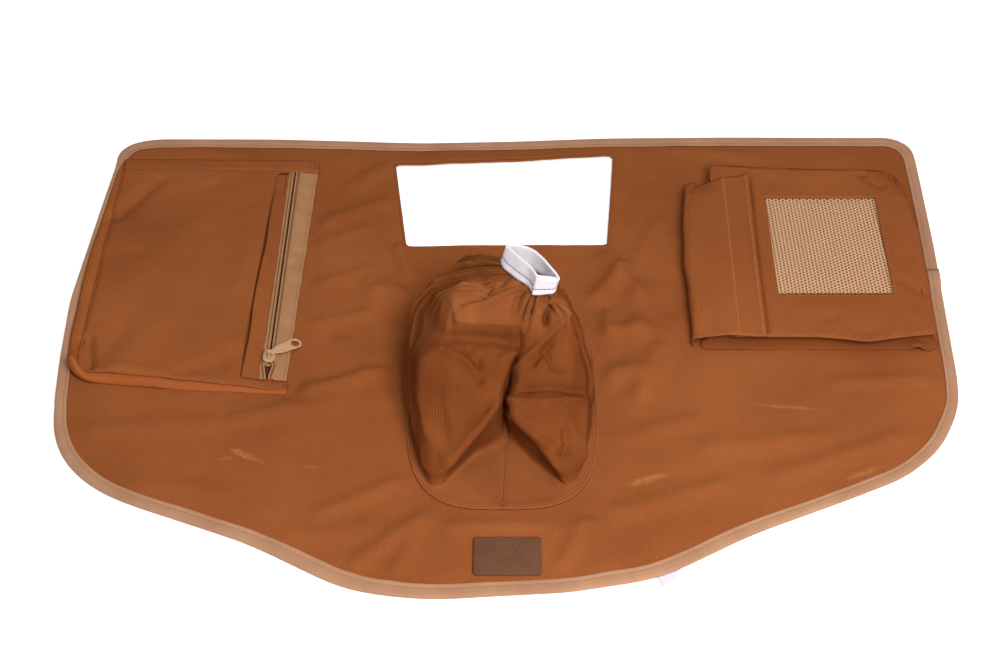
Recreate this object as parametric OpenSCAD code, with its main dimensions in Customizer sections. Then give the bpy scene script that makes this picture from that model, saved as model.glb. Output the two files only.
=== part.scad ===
// Canvas cover panel with a gathered sleeve, a window, a zipped pocket and a flap pocket with a mesh front.
// Millimetres. X runs across the panel, Y runs up to its top edge, Z is up.
// The origin is on the underside, at the middle of the panel.

/* [Panel] */
// Width along the top edge, over the binding
panel_w = 690; // [660:1:740]
// Depth from the top edge to the bottom of the lobe, over the binding
panel_d = 530; // [520:1:580]
// How far each side draws in on its way down to the lower corner
side_taper = 2; // [0:0.5:8]
// Radius of the two top corners
top_corner_r = 14; // [13:0.5:30]
// Height above the bottom edge at which a side line would meet the sloping edge
shoulder_lift = 130; // [120:1:150]
// Radius of the two lower corners
shoulder_r = 115; // [60:1:130]
// Distance from the middle line to the hollow where the slope turns into the lobe
waist_x = 174; // [160:1:190]
// Height of that hollow above the bottom edge
waist_lift = 54; // [48:1:65]
// Radius of that hollow
waist_r = 300; // [150:10:400]
// Half the width of the lobe, before its corners are rounded
lobe_x = 82; // [74:1:90]
// Radius of the lobe's corners
lobe_r = 190; // [100:5:220]
// Thickness of the canvas
canvas_t = 1; // [0.8:0.1:1.6]

/* [Binding] */
// Width of the folded tape on each face of the panel
binding_w = 12.5; // [9:0.5:12.5]
// Thickness of the tape
binding_t = 0.5; // [0.3:0.1:0.6]

/* [Window] */
// Width of the window along its top edge
window_top_w = 190; // [150:1:210]
// Width of the window along its bottom edge
window_bottom_w = 164; // [120:1:190]
// Height of the window
window_h = 117; // [80:1:122]
// Distance from the top edge to the window
window_drop = 31; // [29:0.5:36]
// Radius of the window's corners
window_corner_r = 4; // [1:0.5:12]
// Width of the facing sewn round the window underneath
facing_w = 12; // [6:0.5:14]
// Thickness of the facing
facing_t = 0.5; // [0.3:0.1:0.6]

/* [Label patch] */
// Width of the patch
label_w = 47; // [30:1:70]
// Height of the patch
label_h = 35; // [20:1:40]
// Thickness of the patch
label_t = 1.2; // [0.8:0.1:2]
// Distance from the panel's bottom edge to the patch
label_lift = 21; // [16:0.5:28]

/* [Care tag] */
// Width of the tag
tag_w = 16; // [8:1:24]
// How far the tag sticks out of the binding
tag_show = 6; // [3:0.5:10]
// Thickness of the tag
tag_t = 0.4; // [0.2:0.1:0.8]
// Distance from the middle line to the tag
tag_x = 109; // [98:1:120]

/* [Sleeve] */
// Width of the sleeve's foot
sleeve_w = 142; // [120:1:160]
// Length of the sleeve's foot
sleeve_l = 232; // [200:1:236]
// Distance from the panel's bottom edge to the foot
foot_lift = 83; // [78:1:90]
// Distance from the panel's middle line to the middle of the foot
sleeve_across = -3; // [-10:0.5:10]
// Thickness of the sleeve's cloth
sleeve_t = 0.8; // [0.5:0.1:1.2]
// Width of the foot that is sewn to the panel
flange_w = 8; // [6:0.5:14]
// Half the angle of the fold in the sleeve's front
dent_spread = 26; // [16:1:36]

/* [Cuff] */
// Width of the elastic
elastic_w = 15; // [10:0.5:30]
// Thickness of the elastic
elastic_t = 1.4; // [0.8:0.1:2]
// Length of the relaxed loop, outside
cuff_l = 50; // [40:1:64]
// Width of the relaxed loop, outside
cuff_w = 23; // [20:0.5:36]
// How the loop's long side is turned, seen from above
cuff_turn = -43; // [-70:1:0]
// Distance of the loop from the middle of the foot, across
cuff_across = 20; // [-20:1:24]
// Distance of the loop from the middle of the foot, towards the top edge
cuff_back = 32; // [0:1:40]
// Height of the loop's lower edge above the panel
cuff_rise = 91; // [70:1:130]
// How deep the gathered cloth goes into the loop
cuff_tuck = 6; // [3:0.5:10]

/* [Zip pocket] */
// Distance from the panel's left edge to the pocket, at the pocket's bottom
zip_pocket_inset = 14.5; // [14:0.5:20]
// Width from the pocket's outer edge to the zip's middle line
zip_pocket_w = 147; // [120:1:156]
// Height of the pocket
zip_pocket_h = 289; // [250:1:296]
// Distance from the top edge to the pocket
zip_pocket_drop = 31; // [28:0.5:40]
// Height of the pocket's gusset as it lies
zip_pocket_rise = 10; // [8:0.5:20]
// Width of the strip that slopes from the pocket's front to the zip
zip_strip_w = 13; // [10:0.5:20]
// Length of the cloth end at the zip's top
zip_top_tab = 20; // [8:0.5:30]
// Length of the cloth end at the zip's bottom
zip_bottom_tab = 8; // [5:0.5:12]

/* [Zip] */
// Width of each tape
tape_w = 16; // [15:0.5:20]
// Thickness of each tape
tape_t = 0.6; // [0.4:0.1:0.8]
// Width of each row of teeth
coil_w = 2.4; // [1.8:0.1:2.8]
// Height of each row of teeth
coil_h = 2; // [1.4:0.1:2.6]
// Gap between the two rows, for the slider's post
coil_gap = 1.4; // [1.2:0.1:1.8]
// Length of the slider
slider_l = 11; // [9:0.5:13]
// Width of the slider
slider_w = 9; // [8.6:0.1:9.6]
// Thickness of the slider's two plates
plate_t = 0.9; // [0.7:0.1:1.2]
// Distance from the top edge to the slider as it lies
slider_drop = 292; // [285:1:296]
// Length of the pull tab from its pin
puller_l = 30; // [22:1:36]
// Width of the pull tab
puller_w = 8; // [6:0.5:10]
// Thickness of the pull tab
puller_t = 1.1; // [0.8:0.1:1.5]
// How the pull tab lies, from straight across the zip
puller_skew = 38; // [0:1:40]
// Radius of the hole in the pull tab's end
puller_hole_r = 2.2; // [1.5:0.1:2.6]
// Radius of the pin over the slider
pin_r = 0.8; // [0.6:0.05:1]

/* [Mesh pocket] */
// Distance from the panel's right edge to the pocket, at the pocket's bottom
mesh_pocket_inset = 14.5; // [14:0.5:20]
// Width of the pocket's front
mesh_pocket_w = 157; // [140:1:160]
// Height of the pocket
mesh_pocket_h = 224; // [216:1:240]
// Distance from the top edge to the pocket
mesh_pocket_drop = 56; // [45:1:62]
// Height of the pocket's gusset as it lies
mesh_pocket_rise = 12; // [8:0.5:20]
// Width of the pocket's mouth, beside the front
mouth_w = 20; // [12:0.5:24]
// Width of the mesh that shows
mesh_w = 90; // [60:1:96]
// Height of the mesh that shows
mesh_h = 125; // [80:1:150]
// Distance from the front's outer edge to the mesh
mesh_inset = 22; // [14:0.5:26]
// Distance from the front's top edge to the mesh
mesh_drop = 43; // [20:1:50]
// Thickness of the mesh
mesh_t = 0.6; // [0.4:0.1:1]
// Width of the mesh's border behind the front
mesh_border = 6; // [3:0.5:8]

/* [Flap] */
// Width of the flap from its fold
flap_w = 53; // [46:1:58]
// Height of the flap
flap_h = 212; // [190:1:214]
// Width of the hook tape and the loop tape
hook_w = 20; // [12:1:22]
// Thickness of the hook tape, and of the loop tape
hook_t = 0.8; // [0.5:0.1:1.2]
// Distance from the flap's edge to the hook tape
hook_inset = 2; // [1:0.5:5]

/* [Fit] */
// Clearance between soft pieces that move against each other
soft_gap = 0.3; // [0.2:0.05:0.4]
// Clearance between the zip and its slider
zip_gap = 0.3; // [0.2:0.05:0.4]
// Clearance of the pull tab on its pin
pin_gap = 0.1; // [0.05:0.01:0.1]

/* [Hidden] */
$fn = 48;

canvas_colour = [0.59, 0.34, 0.17];
sleeve_colour = [0.54, 0.29, 0.14];
tan_colour = [0.76, 0.57, 0.43];
zip_colour = [0.72, 0.53, 0.36];
metal_colour = [0.68, 0.51, 0.37];
white_colour = [0.9, 0.88, 0.89];
label_colour = [0.48, 0.33, 0.24];

// Distance between points on a round stretch of an outline
arc_step = 6;
// The most of an edge that the arc at one of its ends takes up
edge_share = 0.49;
// How far a raised edge of the panel runs on over the flat part
step_lap = 0.8;
// Slack between the panel's raw edge and the fold of the tape
edge_slack = 0.1;

// The foot is an oval with flat sides: 2 is an ellipse, and more is squarer
foot_squareness = 4;
foot_step = 6;
wall_rings = 10;
// The sleeve's sides stand steep at the foot and close in towards the cuff
side_close = 3;
side_rise = 2;
// Its back slopes more evenly up to the cuff
back_close = 1.3;
back_rise = 1.1;
back_angle = 60;
back_spread = 75;
// The fold in its front lies low at the foot and rises to the cuff
fold_power = 2.2;
fold_angle = 270;

label_round = 2;
slider_round = 1.5;
post_t = coil_gap - 2 * zip_gap;
post_l = 2.5;
rib_t = 0.8;
pin_stand = 2.3;
pin_leg_w = 1.6;
pin_leg_l = 1.2;
eye_wall = 0.9;
eye_l = 4;
neck_w = 3;
tab_cover = 1;
tape_sewn = 7.5;
tape_bend = 2.5;
strip_seat = 5;
strip_lap = 4;

top_y = panel_d / 2;
binding_h = canvas_t + 2 * binding_t;
foot_x = sleeve_across;
foot_y = foot_lift + sleeve_l / 2 - top_y;
foot_top = canvas_t + sleeve_t;
cuff_z = canvas_t + cuff_rise;
cuff_x = foot_x + cuff_across;
cuff_y = foot_y + cuff_back;

zip_pocket_x = -side_at(zip_pocket_drop + zip_pocket_h) + zip_pocket_inset;
zip_pocket_top = top_y - zip_pocket_drop;
zip_pocket_bottom = zip_pocket_top - zip_pocket_h;
zip_front_z = canvas_t + zip_pocket_rise;
zip_x = zip_pocket_x + zip_pocket_w;
zip_show = slider_w / 2 + 0.5;
zip_front_edge = zip_x - zip_show - zip_strip_w;
zip_top = zip_pocket_top - zip_top_tab;
zip_bottom = zip_pocket_bottom + zip_bottom_tab;
tape_z = canvas_t + plate_t + 2 * zip_gap;
coil_z = tape_z + tape_t;
slider_y = top_y - slider_drop;
slider_low = canvas_t + zip_gap;
slider_high = coil_z + coil_h + zip_gap;
pin_z = slider_high + plate_t + pin_stand;
eye_r = pin_r + pin_gap + eye_wall;
// The tab hangs from its pin until its end is just clear of the panel
puller_hang = asin((pin_z - canvas_t - soft_gap - puller_t / 2) / puller_l / cos(puller_skew));

mesh_right = side_at(mesh_pocket_drop + mesh_pocket_h) - mesh_pocket_inset;
mesh_left = mesh_right - mesh_pocket_w;
mesh_pocket_top = top_y - mesh_pocket_drop;
mesh_pocket_bottom = mesh_pocket_top - mesh_pocket_h;
mesh_front_z = canvas_t + mesh_pocket_rise;
mesh_mid_x = mesh_right - mesh_inset - mesh_w / 2;
mesh_mid_y = mesh_pocket_top - mesh_drop - mesh_h / 2;
riser_x = mesh_left - mouth_w;
flap_mid_y = (mesh_pocket_top + mesh_pocket_bottom) / 2;
loop_z = mesh_front_z + canvas_t;
hook_z = loop_z + hook_t + soft_gap;
flap_z = hook_z + hook_t;
hook_x = riser_x + flap_w - hook_inset - hook_w;

// Half the panel's width at a distance below the top edge
function side_at(drop) = panel_w / 2 - side_taper * drop / (panel_d - shoulder_lift);
function unit(v) = v / norm(v);
function mix(a, b, share) = a + (b - a) * share;
function left_of(a, b) = let (d = unit(b - a)) [-d.y, d.x];

// Corner b of the path a, b, c, moved to the left of the path by a distance
function moved_corner(a, b, c, distance) =
    let (n = left_of(a, b), m = left_of(b, c))
    b + (n + m) * distance / (1 + n * m);

// The arc that rounds corner b of the path a, b, c, with the wanted radius where its edges leave room
function corner_arc(a, b, c, wanted) =
    let (
        to_a = unit(a - b),
        to_c = unit(c - b),
        half = acos(to_a * to_c) / 2,
        r = min(wanted, tan(half) * edge_share * min(norm(a - b), norm(c - b))),
        centre = b + unit(to_a + to_c) * r / sin(half),
        start = b + to_a * r / tan(half) - centre,
        turn = (180 - 2 * half) * sign(cross(b - a, c - b)),
        first = atan2(start.y, start.x),
        steps = max(3, ceil(r * abs(turn) * PI / 180 / arc_step))
    )
    [for (k = [0 : steps]) centre + r * [cos(first + turn * k / steps), sin(first + turn * k / steps)]];

// A closed outline of [x, y, radius] corners, anticlockwise, drawn in by a distance
function outline(corners, inset = 0) =
    let (
        n = len(corners),
        flat = [for (c = corners) [c[0], c[1]]],
        at = [for (i = [0 : n - 1]) moved_corner(flat[(i + n - 1) % n], flat[i], flat[(i + 1) % n], inset)]
    )
    [for (i = [0 : n - 1])
        let (
            a = at[(i + n - 1) % n],
            b = at[i],
            c = at[(i + 1) % n],
            hollow = cross(b - a, c - b) < 0
        )
        each corner_arc(a, b, c, max(0.2, corners[i][2] + (hollow ? inset : -inset)))];

side_x = panel_w / 2 - side_taper;
panel_corners = [
    [panel_w / 2, top_y, top_corner_r],
    [-panel_w / 2, top_y, top_corner_r],
    [-side_x, shoulder_lift - top_y, shoulder_r],
    [-waist_x, waist_lift - top_y, waist_r],
    [-lobe_x, -top_y, lobe_r],
    [lobe_x, -top_y, lobe_r],
    [waist_x, waist_lift - top_y, waist_r],
    [side_x, shoulder_lift - top_y, shoulder_r]
];

window_corners = [
    [window_top_w / 2, top_y - window_drop, window_corner_r],
    [-window_top_w / 2, top_y - window_drop, window_corner_r],
    [-window_bottom_w / 2, top_y - window_drop - window_h, window_corner_r],
    [window_bottom_w / 2, top_y - window_drop - window_h, window_corner_r]
];

// A point of the sleeve's foot, drawn in by a distance
function foot_point(a, inset = 0) =
    let (power = 2 / foot_squareness)
    [
        foot_x + (sleeve_w / 2 - inset) * sign(cos(a)) * pow(abs(cos(a)), power),
        foot_y + (sleeve_l / 2 - inset) * sign(sin(a)) * pow(abs(sin(a)), power)
    ];
foot_angles = [0 : foot_step : 360 - foot_step];

// A point of the cuff's loop, drawn in by a distance: two half circles and two straights
function cuff_point(a, inset) =
    let (
        r = cuff_w / 2 - inset,
        along = (cuff_l - cuff_w) / 2 * sign(cos(a - cuff_turn)) + r * cos(a - cuff_turn),
        across = r * sin(a - cuff_turn)
    )
    [
        cuff_x + along * cos(cuff_turn) - across * sin(cuff_turn),
        cuff_y + along * sin(cuff_turn) + across * cos(cuff_turn)
    ];

// How near an angle is to a middle one: 1 on it, and falling off over the spread
function nearness(a, middle, spread) =
    let (off = abs(a - middle) % 360)
    exp(-pow(min(off, 360 - off) / spread, 2));

// The outside of the sleeve, from its foot at 0 to the cuff at 1
function wall_point(a, t) =
    let (
        fold = nearness(a, fold_angle, dent_spread),
        back = nearness(a, back_angle, back_spread),
        closed = mix(pow(t, mix(side_close, back_close, back)), t, fold),
        raised = mix(1 - pow(1 - t, mix(side_rise, back_rise, back)), pow(t, fold_power), fold),
        at = mix(foot_point(a, flange_w), cuff_point(a, elastic_t + soft_gap), closed)
    )
    [at.x, at.y, mix(foot_top, cuff_z, raised)];

// The inside of the sleeve, one thickness of cloth below the outside
function lining_point(a, t) =
    let (
        along = wall_point(a + 1, t) - wall_point(a - 1, t),
        up = wall_point(a, min(1, t + 0.01)) - wall_point(a, max(0, t - 0.01))
    )
    wall_point(a, t) - sleeve_t * unit(cross(along, up));

// The cloth's closed section at an angle, from the edge of the foot up to the cuff and back down inside
function sleeve_section(a) =
    let (
        edge = foot_point(a),
        hole = foot_point(a, flange_w + sleeve_t),
        neck = cuff_point(a, elastic_t + soft_gap),
        throat = cuff_point(a, elastic_t + soft_gap + sleeve_t),
        top = cuff_z + cuff_tuck
    )
    [
        [edge.x, edge.y, canvas_t],
        [edge.x, edge.y, foot_top],
        for (k = [0 : wall_rings]) wall_point(a, k / wall_rings),
        [neck.x, neck.y, top],
        [throat.x, throat.y, top],
        for (k = [wall_rings - 1 : -1 : 1]) lining_point(a, k / wall_rings),
        [hole.x, hole.y, canvas_t]
    ];

module between(outer, inner) {
    difference() {
        polygon(outer);
        polygon(inner);
    }
}

module raised(z, height) {
    translate([0, 0, z]) linear_extrude(height) children();
}

// A section in X and Z, drawn out along Y
module drawn_out(section, low_y, high_y) {
    translate([0, high_y, 0]) rotate([90, 0, 0]) linear_extrude(high_y - low_y) polygon(section);
}

module block(low, high) {
    translate(low) cube(high - low);
}

module main_panel() {
    flat_edge = outline(panel_corners, binding_w + soft_gap);
    lapped = outline(panel_corners, binding_w + soft_gap + step_lap);
    raw_edge = outline(panel_corners, binding_t + edge_slack);
    window = outline(window_corners);
    faced = outline(window_corners, -facing_w - soft_gap);
    faced_lap = outline(window_corners, -facing_w - soft_gap - step_lap);
    color(canvas_colour) difference() {
        union() {
            raised(0, canvas_t) between(flat_edge, faced);
            raised(binding_t, canvas_t) between(raw_edge, lapped);
            raised(facing_t, canvas_t) between(faced_lap, window);
        }
        raised(-1, canvas_t + 2) polygon([for (a = foot_angles) foot_point(a, flange_w)]);
    }
}

module edge_binding() {
    edge = outline(panel_corners);
    fold = outline(panel_corners, binding_t);
    hem = outline(panel_corners, binding_w);
    color(tan_colour) {
        raised(0, binding_t) between(edge, hem);
        raised(binding_t, canvas_t) between(edge, fold);
        raised(binding_t + canvas_t, binding_t) between(edge, hem);
    }
}

module window_facing() {
    color(canvas_colour) raised(0, facing_t)
        between(outline(window_corners, -facing_w), outline(window_corners));
}

module label_patch() {
    low = -top_y + label_lift;
    corners = [
        [label_w / 2, low + label_h, label_round],
        [-label_w / 2, low + label_h, label_round],
        [-label_w / 2, low, label_round],
        [label_w / 2, low, label_round]
    ];
    color(label_colour) raised(canvas_t, label_t) polygon(outline(corners));
}

module care_label() {
    edge = outline(panel_corners);
    color(white_colour) raised(0, tag_t) difference() {
        intersection() {
            polygon(outline(panel_corners, -tag_show));
            translate([tag_x - tag_w / 2, -panel_d]) square([tag_w, panel_d]);
        }
        polygon(edge);
    }
}

module sleeve() {
    sections = [for (a = foot_angles) sleeve_section(a)];
    n = len(sections);
    m = len(sections[0]);
    faces = [for (i = [0 : n - 1]) for (j = [0 : m - 1])
        let (
            here = i * m + j,
            above = i * m + (j + 1) % m,
            beside = ((i + 1) % n) * m + j,
            across = ((i + 1) % n) * m + (j + 1) % m
        )
        each [[here, above, across], [here, across, beside]]];
    color(sleeve_colour) polyhedron([for (s = sections) each s], faces);
}

module loop_outline(inset) {
    straight = cuff_l - cuff_w;
    r = cuff_w / 2 - inset;
    square([straight, 2 * r], center = true);
    for (side = [-1, 1]) translate([side * straight / 2, 0]) circle(r);
}

module elastic_cuff() {
    color(white_colour) translate([cuff_x, cuff_y, cuff_z]) rotate([0, 0, cuff_turn])
        linear_extrude(elastic_w) difference() {
            loop_outline(0);
            loop_outline(elastic_t);
        }
}

module zip_pocket_front() {
    color(canvas_colour) block(
        [zip_pocket_x, zip_pocket_bottom, zip_front_z],
        [zip_front_edge, zip_pocket_top, zip_front_z + canvas_t]
    );
}

// A wall that stands on three sides of a pocket: its top, its bottom and one side
module gusset(low, high, z, open_side) {
    inner_low = [open_side > 0 ? low.x + canvas_t : low.x - 1, low.y + canvas_t];
    inner_high = [open_side > 0 ? high.x + 1 : high.x - canvas_t, high.y - canvas_t];
    raised(canvas_t, z - canvas_t) difference() {
        translate(low) square(high - low);
        translate(inner_low) square(inner_high - inner_low);
    }
}

module zip_pocket_gusset() {
    color(canvas_colour) gusset(
        [zip_pocket_x, zip_pocket_bottom],
        [zip_front_edge - strip_lap - soft_gap, zip_pocket_top],
        zip_front_z, 1
    );
}

module zip_strip() {
    near = zip_x - zip_show;
    seat = near - strip_seat;
    top = zip_front_edge;
    end = top - strip_lap;
    color(canvas_colour) drawn_out(
        [
            [near, coil_z], [near, coil_z + canvas_t], [seat, coil_z + canvas_t],
            [top, zip_front_z], [end, zip_front_z], [end, zip_front_z - canvas_t],
            [top, zip_front_z - canvas_t], [seat, coil_z]
        ],
        zip_bottom + soft_gap, zip_top - soft_gap
    );
}

module zip_end_tabs() {
    low_x = zip_front_edge + soft_gap;
    high_x = zip_x + tape_w;
    high_z = coil_z + tab_cover;
    color(canvas_colour) {
        block([low_x, zip_pocket_bottom, canvas_t], [high_x, zip_bottom, high_z]);
        block([low_x, zip_top, canvas_t], [high_x, zip_pocket_top, high_z]);
    }
}

module zip_tape_left() {
    color(zip_colour) block(
        [zip_x - tape_w, zip_bottom, tape_z],
        [zip_x - coil_gap / 2, zip_top, tape_z + tape_t]
    );
}

// This tape steps down to the panel, where it is sewn
module zip_tape_right() {
    inner = zip_x + coil_gap / 2;
    sewn = zip_x + tape_w - tape_sewn;
    bend = sewn - tape_bend;
    outer = zip_x + tape_w;
    color(zip_colour) drawn_out(
        [
            [inner, tape_z], [bend, tape_z], [sewn, canvas_t], [outer, canvas_t],
            [outer, canvas_t + tape_t], [sewn, canvas_t + tape_t],
            [bend, tape_z + tape_t], [inner, tape_z + tape_t]
        ],
        zip_bottom, zip_top
    );
}

module zip_coil(side) {
    mid_x = zip_x + side * (coil_gap + coil_w) / 2;
    color(zip_colour) translate([mid_x, (zip_bottom + zip_top) / 2, coil_z + coil_h / 2])
        cube([coil_w, zip_top - zip_bottom, coil_h], center = true);
}

module zip_coil_left() {
    zip_coil(-1);
}

module zip_coil_right() {
    zip_coil(1);
}

module plate() {
    corners = [for (c = [[1, 1], [-1, 1], [-1, -1], [1, -1]])
        [c.x * slider_w / 2, c.y * slider_l / 2, slider_round]];
    linear_extrude(plate_t) polygon(outline(corners));
}

module zip_slider() {
    rib_low = coil_z + zip_gap;
    post_y = 0.5 - slider_l / 2;
    leg_y = slider_l / 2 - slider_round - pin_leg_l / 2;
    color(metal_colour) translate([zip_x, slider_y, 0]) {
        translate([0, 0, slider_low]) plate();
        translate([0, 0, slider_high]) plate();
        block([-post_t / 2, post_y, slider_low], [post_t / 2, post_y + post_l, slider_high + plate_t]);
        for (side = [-1, 1])
            translate([side * (slider_w - rib_t) / 2, 0, (rib_low + slider_high + plate_t) / 2])
                cube([rib_t, slider_l - 2 * slider_round, slider_high + plate_t - rib_low], center = true);
        for (end = [-1, 1])
            translate([0, end * leg_y, (slider_high + pin_z + pin_r) / 2])
                cube([pin_leg_w, pin_leg_l, pin_z + pin_r - slider_high], center = true);
        translate([0, 0, pin_z]) rotate([90, 0, 0]) cylinder(r = pin_r, h = 2 * leg_y, center = true);
    }
}

module zip_puller() {
    color(metal_colour) translate([zip_x, slider_y, pin_z]) rotate([0, puller_hang, 0])
        difference() {
            union() {
                rotate([90, 0, 0]) cylinder(r = eye_r, h = eye_l, center = true);
                rotate([0, 0, puller_skew]) translate([0, 0, -puller_t / 2]) linear_extrude(puller_t) {
                    translate([0, -neck_w / 2]) square([puller_l - puller_w / 2, neck_w]);
                    translate([puller_l / 3, -puller_w / 2])
                        square([puller_l * 2 / 3 - puller_w / 2, puller_w]);
                    translate([puller_l - puller_w / 2, 0]) circle(puller_w / 2);
                }
            }
            rotate([90, 0, 0]) cylinder(r = pin_r + pin_gap, h = eye_l + 2, center = true);
            rotate([0, 0, puller_skew]) translate([puller_l - puller_w / 2, 0, 0])
                cylinder(r = puller_hole_r, h = puller_t + 2, center = true);
        }
}

module mesh_pocket_front() {
    color(canvas_colour) difference() {
        block(
            [mesh_left, mesh_pocket_bottom, mesh_front_z],
            [mesh_right, mesh_pocket_top, mesh_front_z + canvas_t]
        );
        translate([mesh_mid_x, mesh_mid_y, mesh_front_z]) cube([mesh_w, mesh_h, 4 * canvas_t], center = true);
    }
}

module mesh_insert() {
    color(tan_colour) translate([mesh_mid_x, mesh_mid_y, mesh_front_z - mesh_t / 2])
        cube([mesh_w + 2 * mesh_border, mesh_h + 2 * mesh_border, mesh_t], center = true);
}

module mesh_pocket_gusset() {
    color(canvas_colour)
        gusset([mesh_left, mesh_pocket_bottom], [mesh_right, mesh_pocket_top], mesh_front_z, -1);
}

module tape_patch(z) {
    half = flap_h / 2 - hook_inset;
    block([hook_x, flap_mid_y - half, z], [hook_x + hook_w, flap_mid_y + half, z + hook_t]);
}

module loop_tape() {
    color(canvas_colour) tape_patch(loop_z);
}

module hook_tape() {
    color(canvas_colour) tape_patch(hook_z);
}

module flap_riser() {
    color(canvas_colour) block(
        [riser_x - canvas_t / 2, flap_mid_y - flap_h / 2, canvas_t],
        [riser_x + canvas_t / 2, flap_mid_y + flap_h / 2, flap_z - soft_gap]
    );
}

// The flap turns about the round edge over its riser
module pocket_flap() {
    color(canvas_colour) {
        block(
            [riser_x, flap_mid_y - flap_h / 2, flap_z],
            [riser_x + flap_w, flap_mid_y + flap_h / 2, flap_z + canvas_t]
        );
        translate([riser_x, flap_mid_y, flap_z + canvas_t / 2]) rotate([90, 0, 0])
            cylinder(d = canvas_t, h = flap_h, center = true);
    }
}

main_panel();
edge_binding();
window_facing();
label_patch();
care_label();
sleeve();
elastic_cuff();
zip_pocket_front();
zip_pocket_gusset();
zip_strip();
zip_end_tabs();
zip_tape_left();
zip_tape_right();
zip_coil_left();
zip_coil_right();
zip_slider();
zip_puller();
mesh_pocket_front();
mesh_insert();
mesh_pocket_gusset();
loop_tape();
flap_riser();
pocket_flap();
hook_tape();
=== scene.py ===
# %% [markdown]
# # A sleeved canvas cover panel
# The object is a flat panel of rust-brown canvas with a tan binding, a window, two bellows pockets and a
# gathered sleeve with an elastic cuff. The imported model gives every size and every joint. This lesson
# dresses that frame piece by piece: each cloth piece is cut, laid and sewn the way a sewing room would do it.

# %% Load the frame
import math

import bpy
import numpy as np
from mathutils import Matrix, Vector, geometry, noise


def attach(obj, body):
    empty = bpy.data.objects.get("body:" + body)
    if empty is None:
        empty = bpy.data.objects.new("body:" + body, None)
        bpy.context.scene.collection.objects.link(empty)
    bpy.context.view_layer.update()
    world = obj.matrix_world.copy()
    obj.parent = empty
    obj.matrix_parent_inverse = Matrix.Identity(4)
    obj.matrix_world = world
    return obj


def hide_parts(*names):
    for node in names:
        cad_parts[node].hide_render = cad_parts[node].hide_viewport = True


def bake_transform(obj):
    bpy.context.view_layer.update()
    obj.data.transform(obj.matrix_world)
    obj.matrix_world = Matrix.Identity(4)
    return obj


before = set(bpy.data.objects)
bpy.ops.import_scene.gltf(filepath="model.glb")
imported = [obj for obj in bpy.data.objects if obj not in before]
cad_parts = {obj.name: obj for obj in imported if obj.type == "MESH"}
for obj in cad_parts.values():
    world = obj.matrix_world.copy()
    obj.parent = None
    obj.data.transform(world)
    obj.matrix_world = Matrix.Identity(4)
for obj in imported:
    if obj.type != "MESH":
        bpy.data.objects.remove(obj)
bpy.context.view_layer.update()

# %% [markdown]
# ## Camera, floor and light
# The photograph is taken from the front, looking about 41 degrees down, with a longish lens. The camera
# repeats that: the lens is given in pixels of the 1000 pixel frame and turned into millimetres.
# The light is an even studio dome that is stronger overhead, with one large soft lamp, so a colour renders
# about as it is written. The floor adds a little light of its own for the camera alone: where nothing
# shades it, it is white, and the object keeps its soft shadow.

# %% Camera
FRAME_WIDTH_PX = 1000
LENS_PX = 1900
SENSOR_MM = 36
LOOK_DOWN = 40.68
EYE = (-0.005, -1.116, 0.9684)
PICTURE_MIDDLE = (500, 333)


def placed(name, data):
    """A new object in the scene that shows some data."""
    made = bpy.data.objects.new(name, data)
    bpy.context.scene.collection.objects.link(made)
    return made


camera_data = bpy.data.cameras.new("camera")
camera_data.sensor_width = SENSOR_MM
camera_data.lens = LENS_PX / FRAME_WIDTH_PX * SENSOR_MM
camera_data.clip_end = 50
camera = placed("camera", camera_data)
camera.location = EYE
camera.rotation_euler = (math.radians(90 - LOOK_DOWN), 0, 0)
bpy.context.scene.camera = camera
bpy.context.scene.view_settings.view_transform = "Standard"
print("Lens in millimetres:", round(camera_data.lens, 1))


def in_picture(points_mm):
    """Where points in millimetres fall in the 1000 by 666 picture, in pixels."""
    away = np.asarray(points_mm, float) / 1000 - EYE
    down = math.radians(LOOK_DOWN)
    right = away[..., 0]
    up = away[..., 1] * math.sin(down) + away[..., 2] * math.cos(down)
    depth = away[..., 1] * math.cos(down) - away[..., 2] * math.sin(down)
    across, down_by = PICTURE_MIDDLE
    return np.stack([across + LENS_PX * right / depth, down_by - LENS_PX * up / depth], axis=-1)


def from_picture(x, y, height):
    """The point in millimetres that shows at a place in the picture and lies at a height."""
    down = math.radians(LOOK_DOWN)
    right, up = (x - PICTURE_MIDDLE[0]) / LENS_PX, (PICTURE_MIDDLE[1] - y) / LENS_PX
    ray = np.array([right, math.cos(down) + up * math.sin(down), up * math.cos(down) - math.sin(down)])
    eye = np.array(EYE) * 1000
    return eye + ray * (height - eye[2]) / ray[2]


# %% Node helpers
def add(tree, kind, inputs=None, **settings):
    """A node of a kind, with its settings, and each input either linked to a socket or set to a value."""
    made = tree.nodes.new(kind)
    for key, value in settings.items():
        setattr(made, key, value)
    for key, value in (inputs or {}).items():
        if isinstance(value, bpy.types.NodeSocket):
            tree.links.new(value, made.inputs[key])
        else:
            made.inputs[key].default_value = value
    return made


def math_node(tree, operation, a, b=0.0, clamp=False):
    """The result of a sum, product or other operation on two numbers or sockets."""
    return add(tree, "ShaderNodeMath", {0: a, 1: b}, operation=operation, use_clamp=clamp).outputs[0]


# %% Floor, world and lamp
FLOOR_COLOUR = (0.86, 0.86, 0.86, 1)
FLOOR_GLOW = 0.36
DOME_LOW = (0.15, 0.15, 0.155, 1)
DOME_HIGH = (0.78, 0.78, 0.79, 1)
LAMP_POWER = 23
LAMP_PLACE = (0.36, -0.95, 1.0)


def seen_directly(tree):
    """One for a ray that shows the backdrop itself: from the camera, a mirror or a pane of glass."""
    path = add(tree, "ShaderNodeLightPath")
    glossy = math_node(tree, "MAXIMUM", path.outputs["Is Camera Ray"], path.outputs["Is Glossy Ray"])
    return math_node(tree, "MAXIMUM", glossy, path.outputs["Is Transmission Ray"])


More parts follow.
